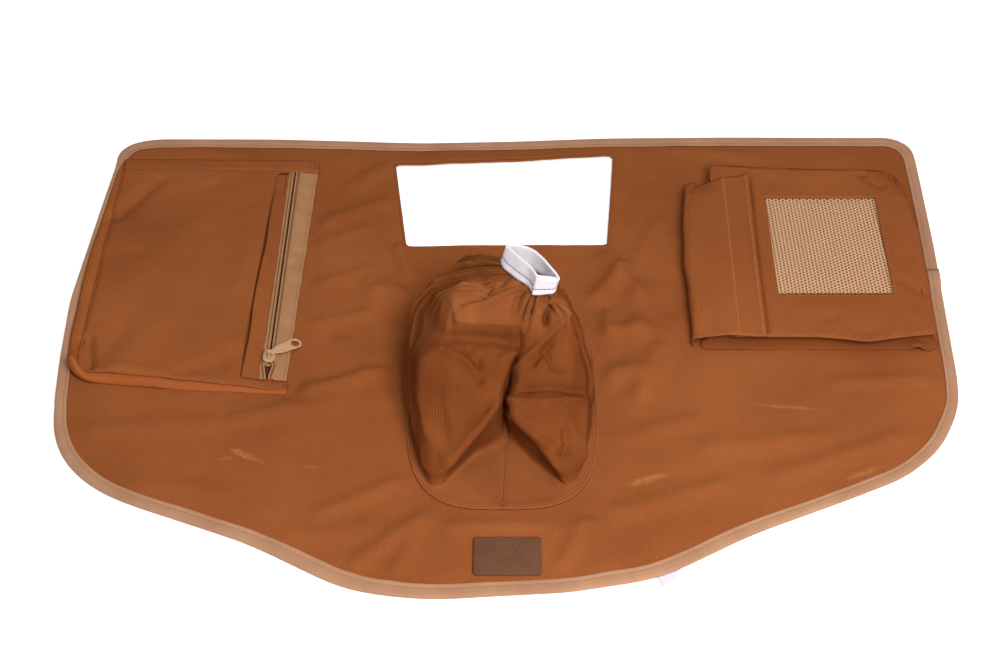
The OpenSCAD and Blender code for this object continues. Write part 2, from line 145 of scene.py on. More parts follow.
def make_floor():
    material = bpy.data.materials.new("floor")
    material.use_nodes = True
    tree = material.node_tree
    tree.nodes.clear()
    diffuse = add(tree, "ShaderNodeBsdfDiffuse", {"Color": FLOOR_COLOUR})
    strength = math_node(tree, "MULTIPLY", seen_directly(tree), FLOOR_GLOW)
    glow = add(tree, "ShaderNodeEmission", {"Color": (1, 1, 1, 1), "Strength": strength})
    both = add(tree, "ShaderNodeAddShader", {0: diffuse.outputs[0], 1: glow.outputs[0]})
    add(tree, "ShaderNodeOutputMaterial", {"Surface": both.outputs[0]})
    mesh = bpy.data.meshes.new("floor")
    half, drop = 12, -0.0004
    mesh.from_pydata([(-half, -half, drop), (half, -half, drop), (half, half, drop), (-half, half, drop)],
                     [], [(0, 1, 2, 3)])
    mesh.materials.append(material)
    floor = placed("floor", mesh)


def make_world():
    world = bpy.data.worlds.new("studio")
    bpy.context.scene.world = world
    world.use_nodes = True
    tree = world.node_tree
    tree.nodes.clear()
    direction = add(tree, "ShaderNodeTexCoord").outputs["Generated"]
    height = add(tree, "ShaderNodeSeparateXYZ", {0: direction}).outputs["Z"]
    ramp = add(tree, "ShaderNodeMix", {"Factor": math_node(tree, "MAXIMUM", height, 0.0),
                                       6: DOME_LOW, 7: DOME_HIGH}, data_type="RGBA")
    dome = add(tree, "ShaderNodeBackground", {"Color": ramp.outputs[2]})
    white = add(tree, "ShaderNodeBackground", {"Color": (1, 1, 1, 1), "Strength": 1.0})
    mixed = add(tree, "ShaderNodeMixShader",
                {0: seen_directly(tree), 1: dome.outputs[0], 2: white.outputs[0]})
    add(tree, "ShaderNodeOutputWorld", {"Surface": mixed.outputs[0]})


def make_lamp():
    data = bpy.data.lights.new("soft_lamp", "AREA")
    data.shape = "DISK"
    data.size = 0.7
    data.energy = LAMP_POWER
    lamp = placed("soft_lamp", data)
    lamp.location = LAMP_PLACE
    lamp.visible_camera = False
    lamp.rotation_euler = (-Vector(LAMP_PLACE)).to_track_quat("-Z", "Y").to_euler()


make_floor()
make_world()
make_lamp()
print("Floor, dome and lamp are in place")

# %% [markdown]
# ## Cloth and thread finishes
# Every finish is built from nodes, at the scale of the real cloth. Canvas and tape are woven, so two sets of
# fine bands cross each other and feed both the colour and the bump. Broad noise adds the uneven dye of real
# cotton. Flat pieces read Object coordinates; pieces that bend read a UV map that is laid out in metres along
# the cloth, so the weave follows the folds.

# %% Weave helpers
MM = 0.001


def rgb(red, green, blue):
    """A colour written as it looks on screen, from 0 to 255, as the linear colour a shader needs."""
    def linear(v):
        v /= 255
        return v / 12.92 if v <= 0.04045 else ((v + 0.055) / 1.055) ** 2.4
    return (linear(red), linear(green), linear(blue), 1)


def new_finish(name, roughness, **sockets):
    """A material with one Principled shader, its constant sockets set directly."""
    material = bpy.data.materials.new(name)
    material.use_nodes = True
    tree = material.node_tree
    shader = tree.nodes["Principled BSDF"]
    shader.inputs["Roughness"].default_value = roughness
    for key, value in sockets.items():
        shader.inputs[key.replace("_", " ")].default_value = value
    return material, tree, shader


def bands(tree, coords, axis, pitch, distortion=0.0):
    """Soft bands across an axis, one each pitch in millimetres."""
    wave = add(tree, "ShaderNodeTexWave",
               {"Vector": coords, "Scale": math.pi / (10 * pitch * MM), "Distortion": distortion,
                "Detail": 1.0, "Detail Scale": 2.0},
               wave_type="BANDS", bands_direction=axis)
    return wave.outputs["Fac"]


def cloud(tree, coords, size, detail=3.0, roughness=0.55):
    """Noise whose patches are about as wide as size in millimetres."""
    made = add(tree, "ShaderNodeTexNoise", {"Vector": coords, "Scale": 1 / (size * MM),
                                            "Detail": detail, "Roughness": roughness})
    return made.outputs["Fac"]


def tinted(tree, low, high, factor):
    """A colour between two, by a factor from 0 to 1."""
    mix = add(tree, "ShaderNodeMix", {"Factor": factor, 6: low, 7: high}, data_type="RGBA")
    return mix.outputs[2]


def spread(tree, value, low, high, to_low=0.0, to_high=1.0):
    """A value taken from one range to another, and clamped."""
    made = add(tree, "ShaderNodeMapRange", {"Value": value, "From Min": low, "From Max": high,
                                            "To Min": to_low, "To Max": to_high})
    return made.outputs[0]


def bumped(tree, shader, height, strength, distance):
    """Feeds a height in millimetres of relief to a shader's normal."""
    bump = add(tree, "ShaderNodeBump", {"Height": height, "Strength": strength, "Distance": distance * MM})
    tree.links.new(bump.outputs["Normal"], shader.inputs["Normal"])


def weighed(tree, a, share_of_a, b, share_of_b, clamp=False):
    """The sum of two values, each times its share."""
    return math_node(tree, "ADD", math_node(tree, "MULTIPLY", a, share_of_a),
                     math_node(tree, "MULTIPLY", b, share_of_b), clamp)


def dyed(tree, coords, size, detail=3.0):
    """Uneven dye from 0 to 1, in patches about as wide as size in millimetres."""
    return spread(tree, cloud(tree, coords, size, detail), 0.3, 0.7)


def coloured(tree, shader, low, high, factor):
    """Feeds a colour between two to a shader."""
    tree.links.new(tinted(tree, low, high, factor), shader.inputs["Base Color"])


def coordinates(tree, kind):
    return add(tree, "ShaderNodeTexCoord").outputs[kind]


# %% Canvas finish
def canvas_finish(name, dark, light, coords_kind, rib=1.45, weft=0.95, worn_places=()):
    """Ribbed cotton canvas: close ribs one way, finer threads the other, and broad uneven dye."""
    material, tree, shader = new_finish(name, 0.9, Specular_IOR_Level=0.01)
    coords = coordinates(tree, coords_kind)
    ribs = bands(tree, coords, "X", rib, 0.6)
    threads = bands(tree, coords, "Y", weft, 0.5)
    weave = weighed(tree, ribs, 0.65, threads, 0.35)
    dye = dyed(tree, coords, 120, 4.0)
    speck = spread(tree, cloud(tree, coords, 2.2, 2.0), 0.25, 0.75)
    shade = weighed(tree, dye, 0.45, weave, 0.35)
    shade = math_node(tree, "ADD", shade, math_node(tree, "MULTIPLY", speck, 0.2), clamp=True)
    colour = tinted(tree, dark, light, shade)
    for place, turn, size, amount in worn_places:
        colour = scuffed(tree, coords, colour, place, turn, size, amount, threads)
    tree.links.new(colour, shader.inputs["Base Color"])
    bumped(tree, shader, weave, 0.35, 0.35)
    return material


def scuffed(tree, coords, colour, place, turn, size, amount, threads):
    """Adds one pale rubbed streak, with its middle, turn in degrees and half sizes in millimetres."""
    centred = add(tree, "ShaderNodeMapping",
                  {"Vector": coords, "Location": (place[0] * MM, place[1] * MM, 0),
                   "Rotation": (0, 0, math.radians(turn)),
                   "Scale": (size[0] * MM, size[1] * MM, 1)}, vector_type="TEXTURE")
    flat = add(tree, "ShaderNodeVectorMath", {0: centred.outputs[0], 1: (1, 1, 0)}, operation="MULTIPLY")
    away = add(tree, "ShaderNodeVectorMath", {0: flat.outputs[0]}, operation="LENGTH").outputs["Value"]
    ragged = math_node(tree, "ADD", away, math_node(tree, "MULTIPLY", cloud(tree, coords, 9, 3.0), 0.9))
    mask = spread(tree, ragged, 1.25, 0.75, 0.0, amount)
    streaks = spread(tree, cloud(tree, coords, 3.5, 4.0), 0.3, 0.65, 0.3, 1.0)
    mask = math_node(tree, "MULTIPLY", mask, streaks)
    return tinted(tree, colour, SCUFF_COLOUR, mask)


CANVAS_DARK = rgb(116, 61, 30)
CANVAS_LIGHT = rgb(148, 85, 45)
SCUFF_COLOUR = rgb(172, 116, 68)
SCUFFS = [
    ((-190, -128), -30, (20, 4.5), 0.5), ((-204, -131), 12, (10, 3), 0.35), ((102, -152), 20, (30, 5), 0.5),
    ((205, -76), -6, (34, 3.5), 0.35), ((256, -146), 24, (20, 4), 0.35), ((172, -196), 17, (18, 1.8), 0.35),
    ((-140, -140), -8, (10, 2.0), 0.25),
]
panel_finish = canvas_finish("panel_canvas", CANVAS_DARK, CANVAS_LIGHT, "Object", worn_places=SCUFFS)
pocket_finish = canvas_finish("pocket_canvas", CANVAS_DARK, CANVAS_LIGHT, "Object")
folded_finish = canvas_finish("folded_canvas", CANVAS_DARK, CANVAS_LIGHT, "UV")
# Painted light: the zip pocket's gusset takes a paler copy of the canvas tones, so it reads as lit.
painted_light_side_finish = canvas_finish("painted_light_side_canvas", rgb(128, 67, 32), rgb(164, 93, 48), "UV")
print("Canvas finishes:", panel_finish.name, pocket_finish.name, folded_finish.name)


# %% Sleeve, binding and elastic finishes
def sleeve_finish_made():
    """Thin coated cloth with a small square grid of thicker threads, and painted shade up the middle of the
    wall.
    """
    material, tree, shader = new_finish("coated_sleeve", 0.85, Specular_IOR_Level=0.01)
    coords = coordinates(tree, "UV")
    across = bands(tree, coords, "X", 1.7, 0.3)
    along = bands(tree, coords, "Y", 1.7, 0.3)
    grid = math_node(tree, "MAXIMUM", math_node(tree, "POWER", across, 3.0),
                     math_node(tree, "POWER", along, 3.0))
    dye = dyed(tree, coords, 60)
    shade = weighed(tree, dye, 0.5, grid, 0.5, clamp=True)
    # Painted shade: the wall between about 12 and 63 mm high takes the darker tones. The apron below 4 mm and
    # the cloth above 75 mm keep the paler tones, as painted light.
    height = add(tree, "ShaderNodeSeparateXYZ", {0: coordinates(tree, "Object")}).outputs["Z"]
    mid_wall_painted_shade = math_node(tree, "SUBTRACT", spread(tree, height, 4 * MM, 12 * MM),
                     spread(tree, height, 63 * MM, 75 * MM))
    rubbed_and_painted_lit = tinted(tree, rgb(104, 53, 25), rgb(150, 88, 48), shade)
    painted_shade_tones = tinted(tree, rgb(84, 39, 16), rgb(132, 73, 36), shade)
    coloured(tree, shader, rubbed_and_painted_lit, painted_shade_tones, mid_wall_painted_shade)
    bumped(tree, shader, grid, 0.4, 0.25)
    return material


def binding_finish_made():
    """Tan bias tape: a twill whose ribs run slantwise along the tape."""
    material, tree, shader = new_finish("binding_tape", 0.8, Specular_IOR_Level=0.15)
    coords = coordinates(tree, "UV")
    turned = add(tree, "ShaderNodeMapping", {"Vector": coords, "Rotation": (0, 0, math.radians(38))})
    ribs = bands(tree, turned.outputs[0], "X", 1.25, 0.4)
    dye = dyed(tree, coords, 30)
    shade = weighed(tree, dye, 0.45, ribs, 0.55, clamp=True)
    coloured(tree, shader, rgb(145, 104, 78), rgb(176, 132, 101), shade)
    bumped(tree, shader, ribs, 0.45, 0.3)
    return material


def elastic_finish_made():
    """White knitted elastic: fine ribs across the band and finer courses along it."""
    material, tree, shader = new_finish("white_elastic", 0.85, Specular_IOR_Level=0.2)
    coords = coordinates(tree, "UV")
    ribs = bands(tree, coords, "Y", 1.1, 0.3)
    courses = bands(tree, coords, "X", 0.8, 0.4)
    knit = weighed(tree, ribs, 0.7, courses, 0.3)
    soil = spread(tree, cloud(tree, coords, 14, 3.0), 0.35, 0.75, 0.0, 0.5)
    shade = math_node(tree, "SUBTRACT", math_node(tree, "ADD", knit, 0.35), soil, clamp=True)
    coloured(tree, shader, rgb(198, 191, 195), rgb(228, 223, 228), shade)
    bumped(tree, shader, knit, 0.5, 0.35)
    return material


def zip_tape_finish_made():
    """Tan zip tape: a herringbone of fine slanting threads."""
    material, tree, shader = new_finish("herringbone_tape", 0.75, Specular_IOR_Level=0.2)
    coords = coordinates(tree, "UV")
    split = add(tree, "ShaderNodeSeparateXYZ", {0: coords})
    folded = math_node(tree, "PINGPONG", split.outputs["X"], 2.2 * MM)
    slanted = add(tree, "ShaderNodeCombineXYZ",
                  {"X": math_node(tree, "ADD", folded, split.outputs["Y"])}).outputs[0]
    threads = bands(tree, slanted, "X", 1.1, 0.2)
    dye = dyed(tree, coords, 25)
    shade = weighed(tree, dye, 0.5, threads, 0.5, clamp=True)
    coloured(tree, shader, rgb(136, 94, 60), rgb(166, 120, 82), shade)
    bumped(tree, shader, threads, 0.4, 0.2)
    return material


sleeve_finish = sleeve_finish_made()
binding_finish = binding_finish_made()
elastic_finish = elastic_finish_made()
zip_tape_finish = zip_tape_finish_made()
print("Woven finishes:", sleeve_finish.name, binding_finish.name, elastic_finish.name, zip_tape_finish.name)


# %% Thread, plastic, metal and patch finishes
def thread_finish(name, colour):
    """Sewing thread: a tight twist and a faint shine."""
    material, tree, shader = new_finish(name, 0.6, Specular_IOR_Level=0.3)
    coords = coordinates(tree, "Object")
    twist = spread(tree, cloud(tree, coords, 0.8, 2.0), 0.2, 0.8)
    pale = tuple(min(1.0, v * 1.45) for v in colour[:3]) + (1,)
    coloured(tree, shader, colour, pale, twist)
    return material


def hard_finish(name, colour, roughness, metallic=0.0, grain=3.0):
    """Moulded plastic or painted metal: a little mottled, with fine unevenness in its gloss."""
    material, tree, shader = new_finish(name, roughness, Metallic=metallic)
    coords = coordinates(tree, "Object")
    mottle = spread(tree, cloud(tree, coords, grain, 4.0), 0.25, 0.75)
    dark = tuple(v * 0.82 for v in colour[:3]) + (1,)
    coloured(tree, shader, dark, colour, mottle)
    tree.links.new(spread(tree, mottle, 0.0, 1.0, roughness + 0.1, roughness - 0.06),
                   shader.inputs["Roughness"])
    bumped(tree, shader, mottle, 0.12, 0.12)
    return material


def patch_finish_made():
    """Leatherette: small pebbled cells, darker in the creases between them."""
    material, tree, shader = new_finish("patch_leatherette", 0.6, Specular_IOR_Level=0.2)
    coords = coordinates(tree, "Object")
    pebble = add(tree, "ShaderNodeTexVoronoi", {"Vector": coords, "Scale": 1 / (1.1 * MM)},
                 feature="SMOOTH_F1").outputs["Distance"]
    grain = spread(tree, pebble, 0.1, 0.7, 1.0, 0.0)
    rubbed_and_painted_lit = dyed(tree, coords, 14, 4.0)
    shade = weighed(tree, grain, 0.5, rubbed_and_painted_lit, 0.5, clamp=True)
    coloured(tree, shader, rgb(79, 49, 31), rgb(102, 66, 43), shade)
    bumped(tree, shader, grain, 0.4, 0.2)
    return material


def touch_finish_made():
    """Hook and loop tape: a dense mat of small fibres."""
    material, tree, shader = new_finish("hook_and_loop_mat", 0.9, Specular_IOR_Level=0.15)
    coords = coordinates(tree, "Object")
    tufts = add(tree, "ShaderNodeTexVoronoi", {"Vector": coords, "Scale": 1 / (0.9 * MM)}).outputs["Distance"]
    mat = spread(tree, tufts, 0.0, 0.6)
    shade = weighed(tree, mat, 0.7, cloud(tree, coords, 5, 3.0), 0.3, clamp=True)
    coloured(tree, shader, rgb(150, 84, 44), rgb(108, 58, 30), shade)
    bumped(tree, shader, math_node(tree, "SUBTRACT", 1.0, mat), 0.7, 0.5)
    return material


rust_thread = thread_finish("rust_thread", rgb(136, 71, 36))
light_thread = thread_finish("light_thread", rgb(152, 86, 48))
tan_thread = thread_finish("tan_thread", rgb(128, 82, 56))
red_thread = thread_finish("red_thread", rgb(90, 46, 44))
dark_thread = thread_finish("dark_thread", rgb(72, 44, 32))
net_finish = thread_finish("net_thread", rgb(196, 155, 119))
coil_finish = hard_finish("coil_plastic", rgb(156, 110, 72), 0.42)
metal_finish = hard_finish("painted_metal", rgb(178, 134, 94), 0.36)
patch_finish = patch_finish_made()
tag_finish = canvas_finish("tag_cloth", rgb(192, 188, 204), rgb(216, 212, 226), "Object", 0.6, 0.6)
# Painted shade: dark canvas tones for the sheet under the zip.
zip_gap_shade_finish = canvas_finish("zip_gap_painted_shade_weave", rgb(78, 40, 21), rgb(96, 50, 27), "Object")
backing_finish = canvas_finish("net_backing_weave", rgb(156, 112, 82), rgb(188, 143, 110), "Object", 0.9, 0.9)
touch_finish = touch_finish_made()
print("Thread, plastic, metal and patch finishes are ready")

# %% [markdown]
# ## Mesh helpers
# All shapes below are worked out in millimetres as arrays of points and turned into meshes by a few helpers.
# A sheet of cloth is a closed mesh: its upper side is given, and its lower side lies one thickness under it.


# %% Mesh helpers
def piece(name, points, faces, material, uv=None, wrap=None):
    """A smooth mesh object from points in millimetres, with an optional UV in millimetres for each point.

    wrap is the length round a ring of quads, so that the faces that close the ring read on past its start."""
    mesh = bpy.data.meshes.new(name)
    mesh.from_pydata((np.asarray(points, float) * MM).tolist(), [], [tuple(f) for f in faces])
    mesh.materials.append(material)
    if uv is not None:
        corner = np.zeros(len(mesh.loops), int)
        mesh.loops.foreach_get("vertex_index", corner)
        place = np.asarray(uv, float)[corner]
        if wrap:
            along = place[:, 0].reshape(-1, 4)
            torn = np.ptp(along, axis=1, keepdims=True) > wrap / 2
            place[:, 0] = np.where(torn & (along < along.mean(1, keepdims=True)), along + wrap, along).ravel()
        layer = mesh.uv_layers.new(name="UVMap")
        layer.data.foreach_set("uv", (place * MM).ravel())
    mesh.polygons.foreach_set("use_smooth", np.ones(len(mesh.polygons), bool))
    mesh.update()
    return placed(name, mesh)


def grid_faces(rows, columns, ring=False):
    """The quads of a grid counted along each row; a ring joins its last column to its first."""
    across = columns if ring else columns - 1
    return [(r * columns + c, r * columns + (c + 1) % columns,
             (r + 1) * columns + (c + 1) % columns, (r + 1) * columns + c)
            for r in range(rows - 1) for c in range(across)]


def normals_of(points, faces):
    """A normal for each point, from the faces around it."""
    total = np.zeros_like(points)
    for size in (3, 4):
        some = np.array([f for f in faces if len(f) == size], int)
        if len(some):
            first, last = points[some[:, 2]] - points[some[:, 0]], points[some[:, -1]] - points[some[:, 1]]
            across = np.cross(first, last)
            for k in range(size):
                np.add.at(total, some[:, k], across)
    return total / np.maximum(np.linalg.norm(total, axis=1, keepdims=True), 1e-9)


def cloth(name, points, faces, thickness, material, uv=None, wrap=None):
    """A closed sheet whose upper side is given."""
    points = np.asarray(points, float)
    count = len(points)
    under = points - thickness * normals_of(points, faces)
    used = {(f[k], f[(k + 1) % len(f)]) for f in faces for k in range(len(f))}
    edge = [(a, b) for a, b in used if (b, a) not in used]
    walls = [(b, a, a + count, b + count) for a, b in sorted(edge)]
    turned = [tuple(i + count for i in reversed(f)) for f in faces]
    both_uv = None if uv is None else np.vstack([uv, uv])
    return piece(name, np.vstack([points, under]), list(faces) + turned + walls, material, both_uv, wrap)


def smooth_step(low, high, value):
    share = np.clip((np.asarray(value, float) - low) / (high - low), 0, 1)
    return share * share * (3 - 2 * share)


def bell(value, middle, reach):
    """One at the middle, falling smoothly to almost nothing at twice the reach."""
    return np.exp(-((value - middle) / reach) ** 2)


def mix(a, b, share):
    return a + (b - a) * share


def run_along(points):
    """The distance from the start of a path to each of its points."""
    return np.concatenate([[0], np.cumsum(np.linalg.norm(np.diff(points, axis=0), axis=1))])


def length_round(loop):
    return np.linalg.norm(np.roll(loop, -1, axis=0) - loop, axis=1).sum()


def resampled(points, step=None, count=None, closed=False):
    """Points at even distances along a path."""
    points = np.asarray(points, float)
    if closed:
        points = np.vstack([points, points[:1]])
    run = run_along(points)
    count = count or max(2, int(round(run[-1] / step)) + (0 if closed else 1))
    wanted = np.linspace(0, run[-1], count, endpoint=not closed)
    return np.stack([np.interp(wanted, run, points[:, k]) for k in range(points.shape[1])], axis=1)


def rounded(corners, step=4.0):
    """A closed outline from corners (x, y, radius), with each corner an arc."""
    made = []
    count = len(corners)
    for i, (x, y, radius) in enumerate(corners):
        here = np.array([x, y], float)
        back = np.array(corners[i - 1][:2], float) - here
        on = np.array(corners[(i + 1) % count][:2], float) - here
        back, on = back / np.linalg.norm(back), on / np.linalg.norm(on)
        half = math.acos(np.clip(back @ on, -1, 1)) / 2
        centre = here + (back + on) / np.linalg.norm(back + on) * radius / math.sin(half)
        start, end = here + back * radius / math.tan(half), here + on * radius / math.tan(half)
        first = math.atan2(*(start - centre)[::-1])
        turn = (math.atan2(*(end - centre)[::-1]) - first + math.pi) % (2 * math.pi) - math.pi
        for angle in np.linspace(first, first + turn, max(3, int(abs(turn) * radius / step) + 1)):
            made.append(centre + radius * np.array([math.cos(angle), math.sin(angle)]))
    return np.array(made)


def inside(points, loop):
    """Which points lie inside a closed outline."""
    x, y = points[:, 0][:, None], points[:, 1][:, None]
    a, b = loop, np.roll(loop, -1, axis=0)
    crosses = (a[:, 1] > y) != (b[:, 1] > y)
    reach = a[:, 0] + (y - a[:, 1]) * (b[:, 0] - a[:, 0]) / np.where(b[:, 1] == a[:, 1], 1e-9,
                                                                     b[:, 1] - a[:, 1])
    return (crosses & (x < reach)).sum(1) % 2 == 1


def distance_to(points, loop, closed=True):
    """The distance from each point to a path."""
    a = loop if closed else loop[:-1]
    b = np.roll(loop, -1, axis=0) if closed else loop[1:]
    best = np.full(len(points), 1e9)
    for start, end in zip(a, b):
        along = end - start
        share = np.clip(((points - start) @ along) / max(along @ along, 1e-12), 0, 1)
        best = np.minimum(best, np.linalg.norm(points - start - share[:, None] * along, axis=1))
    return best


def inward(loop):
    """The inward direction at each point of a closed outline that runs anticlockwise."""
    along = np.roll(loop, -1, axis=0) - np.roll(loop, 1, axis=0)
    along /= np.linalg.norm(along, axis=1, keepdims=True)
    return np.stack([-along[:, 1], along[:, 0]], axis=1)


def filled(outer, holes, step, lines=()):
    """A triangle mesh in plan that fills an outline, leaves its holes open and has edges along some lines."""
    loops = [outer] + holes
    points, edges = [], []
    for loop in loops:
        start = len(points)
        points += loop.tolist()
        edges += [(start + k, start + (k + 1) % len(loop)) for k in range(len(loop))]
    for line in lines:
        start = len(points)
        points += line.tolist()
        edges += [(start + k, start + k + 1) for k in range(len(line) - 1)]
    low, high = outer.min(0), outer.max(0)
    rows = np.arange(low[1], high[1], step * 0.866)
    grid = np.array([(x + (k % 2) * step / 2, y) for k, y in enumerate(rows)
                     for x in np.arange(low[0], high[0], step)])
    keep = inside(grid, outer)
    for hole in holes:
        keep &= ~inside(grid, hole)
    grid = grid[keep]
    near = [distance_to(grid, loop) for loop in loops]
    near += [distance_to(grid, line, closed=False) for line in lines]
    points += grid[np.min(near, axis=0) > step * 0.55].tolist()
    made = geometry.delaunay_2d_cdt([Vector(p) for p in points], edges, [], 0, 1e-6)
    flat = np.array([tuple(v) for v in made[0]])
    faces = np.array(made[2])
    middle = flat[faces].mean(1)
    good = inside(middle, outer)
    for hole in holes:
        good &= ~inside(middle, hole)
    faces = faces[good]
    a, b, c = flat[faces[:, 0]], flat[faces[:, 1]], flat[faces[:, 2]]
    area = (b - a)[:, 0] * (c - a)[:, 1] - (b - a)[:, 1] * (c - a)[:, 0]
    faces[area < 0] = faces[area < 0][:, ::-1]
    return flat, [tuple(f) for f in faces]


def sheet_uv(grid):
    """A UV in millimetres for each point of a grid of points: along the middle row, and across the rows."""
    along = run_along(grid[len(grid) // 2])
    steps = np.linalg.norm(np.diff(grid, axis=0), axis=2).mean(1)
    across = np.concatenate([[0], np.cumsum(steps)])
    return np.stack(np.meshgrid(across, along, indexing="ij")[::-1], axis=2).reshape(-1, 2)


def sheet_of(name, grid, thickness, material, mapped=True, turned=False):
    """A closed sheet from a grid of points. A mapped one has a UV along and across it, turned for a tape."""
    uv = sheet_uv(grid)[:, ::-1 if turned else 1] if mapped else None
    return cloth(name, grid.reshape(-1, 3), grid_faces(*grid.shape[:2]), thickness, material, uv)


def measured(made):
    """Half the surface of a closed sheet, in square metres."""
    return sum(p.area for p in made.data.polygons) / 2


print("Mesh helpers are ready")

# %% [markdown]
# ## How the panel lies
# A sewn cloth panel never lies as true as its pattern. Its edge wanders by a few millimetres, and soft
# folds stand up between the pieces sewn to it. Both are plain functions of a place on the panel, so
# everything that is sewn to the panel can ask them where it lies. The zip, the patch and the sleeve's foot
# hold the cloth flat.

# %% The panel's outline and openings
PANEL_CORNERS = [(345, 265, 14), (-345, 265, 24), (-343, -135, 115), (-174, -211, 300),
                 (-82, -265, 190), (82, -265, 190), (174, -211, 300), (343, -135, 115)]
WINDOW_CORNERS = [(93.5, 240, 3), (-95.5, 231, 3), (-82, 117.5, 1.6), (83, 119.5, 1.6)]
FOOT_MIDDLE = np.array([-3.0, -66.0])
FOOT_HALF = np.array([71.0, 116.0])
FOOT_SQUARENESS = 4
FOOT_FRONT_SQUARENESS = 3.3
FLANGE = 8

outline = resampled(rounded(PANEL_CORNERS), 4, closed=True)
window = resampled(rounded(WINDOW_CORNERS), 4, closed=True)


def foot_loop(inset, count):
    """The sleeve's foot, a squared oval drawn in by a distance, from its front middle and anticlockwise."""
    angle = np.linspace(-math.pi / 2, 1.5 * math.pi, 4000, endpoint=False)
    power = 2 / np.where(np.sin(angle) < 0, FOOT_FRONT_SQUARENESS, FOOT_SQUARENESS)
    unit = np.stack([np.sign(np.cos(angle)) * np.abs(np.cos(angle)) ** power,
                     np.sign(np.sin(angle)) * np.abs(np.sin(angle)) ** power], axis=1)
    return resampled(FOOT_MIDDLE + (FOOT_HALF - inset) * unit, count=count, closed=True)


foot = foot_loop(0, 200)
print("Points on the outline, the window and the foot:", len(outline), len(window), len(foot))

# %% Drift of the edge and soft folds
EDGE_DRIFT = [
    (335, 265, 9), (190, 265, 9.5), (84, 265, 8), (13, 265, 3.5), (-75, 265, 0.5), (-200, 265, 6.5),
    (-310, 265, 7), (-338, 258, -3), (-345, 240, -6.5), (-345, 180, -3), (-344, 50, 3.5), (-344, -20, 0),
    (-342, -80, -5), (-318, -132, 2), (-265, -170, 7), (-190, -204, 5.5), (-110, -247, 7), (-72, -260, 2.5),
    (-18, -265, -2), (68, -261, -8), (106, -249, -5), (164, -217, -6), (239, -182, -7.5), (305, -146, -10.5),
    (337, -99, -9), (343, -43, -1), (344, 33, 3.5), (344, 120, 8.5), (344, 190, 11), (344, 250, 13),
]
DRIFT_REACH = 42.0
FOLDS = [
    ((-92, 70), (-84, 40), 7, 3.5), ((-110, 70), (-96, -20), 10, 3.2), ((-125, -5), (-90, -70), 10, 3.0),
    ((-165, -64), (-96, -40), 8, 4.4), ((-150, 20), (-112, 30), 6, 1.9), ((-148, 70), (-115, 86), 6, 1.8),
    ((-155, 120), (-118, 140), 7, 1.9), ((94, 86), (74, 52), 8, 5.6), ((82, 100), (104, 54), 9, 4.6),
    ((108, 60), (100, -40), 10, 3.0), ((130, 20), (96, -70), 9, 2.4), ((126, 150), (104, 90), 8, 2.0),
    ((-200, -90), (-130, -70), 8, 2.4), ((-300, -100), (-220, -95), 10, 2.2),
    ((-130, -185), (-66, -150), 7, 2.4), ((-100, -228), (-60, -190), 7, 3.0),
    ((-150, -205), (-100, -200), 9, 2.4), ((-78, -245), (-60, -196), 6, 2.4),
    ((40, -235), (52, -198), 6, 3.0), ((70, -240), (62, -200), 8, 2.4), ((80, -185), (150, -160), 9, 2.6),
    ((150, -120), (230, -110), 10, 2.4), ((200, -150), (285, -115), 10, 2.6),
    ((90, -110), (140, -90), 9, 2.0), ((250, -50), (320, -45), 7, 1.9), ((-270, 252), (-240, 243), 5, 1.9),
    ((120, 245), (126, 220), 6, 2.2), ((150, 248), (210, 240), 6, 2.2), ((-130, 200), (-106, 226), 8, 2.2),
    ((-260, -150), (-200, -165), 9, 2.2), ((-40, -200), (40, -202), 6, 1.6), ((80, 30), (78, 8), 5, 3.6),
    ((86, 9), (104, 12), 10, 4.6), ((76, -43), (92, -38), 10, 4.6), ((118, -14), (104, -60), 9, 3.2),
    ((-88, 114), (-78, 80), 5, 4.4), ((-100, 58), (-80, 50), 9, 4.4), ((-150, 150), (-104, 178), 8, 2.6),
]
outline_run = run_along(np.vstack([outline, outline[:1]]))


def drift_table():
    """The drift at each point of the outline, from the places where it was judged."""
    anchors = np.array(EDGE_DRIFT, float)
    nearest = [np.argmin(np.linalg.norm(outline - a[:2], axis=1)) for a in anchors]
    run, total = outline_run[nearest], outline_run[-1]
    order = np.argsort(run)
    run, drift = run[order], anchors[order, 2]
    raw = np.interp(outline_run[:-1], np.concatenate([run - total, run, run + total]), np.tile(drift, 3))
    soft = np.exp(-np.linspace(-2, 2, 13) ** 2)
    return np.convolve(np.concatenate([raw[-6:], raw, raw[:6]]), soft / soft.sum(), "valid")


outline_drift = drift_table()
outline_inward = inward(outline)


def drifted(points):
    """Places on the pattern, moved to where the cloth lies."""
    points = np.asarray(points, float)
    moved = points.copy()
    for start in range(0, len(points), 2000):
        some = points[start:start + 2000]
        apart = np.linalg.norm(some[:, None] - outline[None], axis=2)
        near = np.argmin(apart, axis=1)
        fade = bell(apart[np.arange(len(some)), near], 0, DRIFT_REACH)
        moved[start:start + 2000] -= (outline_drift[near] * fade)[:, None] * outline_inward[near]
    return moved


def held_flat(points):
    """One where the cloth is free to fold, and zero where a sewn piece holds it down."""
    x, y = points[:, 0], points[:, 1]
    zip_room = smooth_step(0, 14, np.maximum(np.abs(x + 182) - 20, np.abs(y - 89) - 152))
    patch_room = smooth_step(0, 10, np.maximum(np.abs(x) - 25, np.abs(y + 226) - 20))
    foot_room = smooth_step(0, 16, distance_to(points, foot))
    rim_room = smooth_step(6, 26, distance_to(points, outline))
    return zip_room * patch_room * foot_room * mix(0.15, 1, rim_room)


def creased(points, creases):
    """The height of soft ridges and dents, each a line on the plan with its half width and its rise."""
    height = np.zeros(len(points))
    for start, end, width, rise in creases:
        away = distance_to(points, np.array([start, end], float), closed=False)
        height += rise * bell(away, 0, width)
    return height


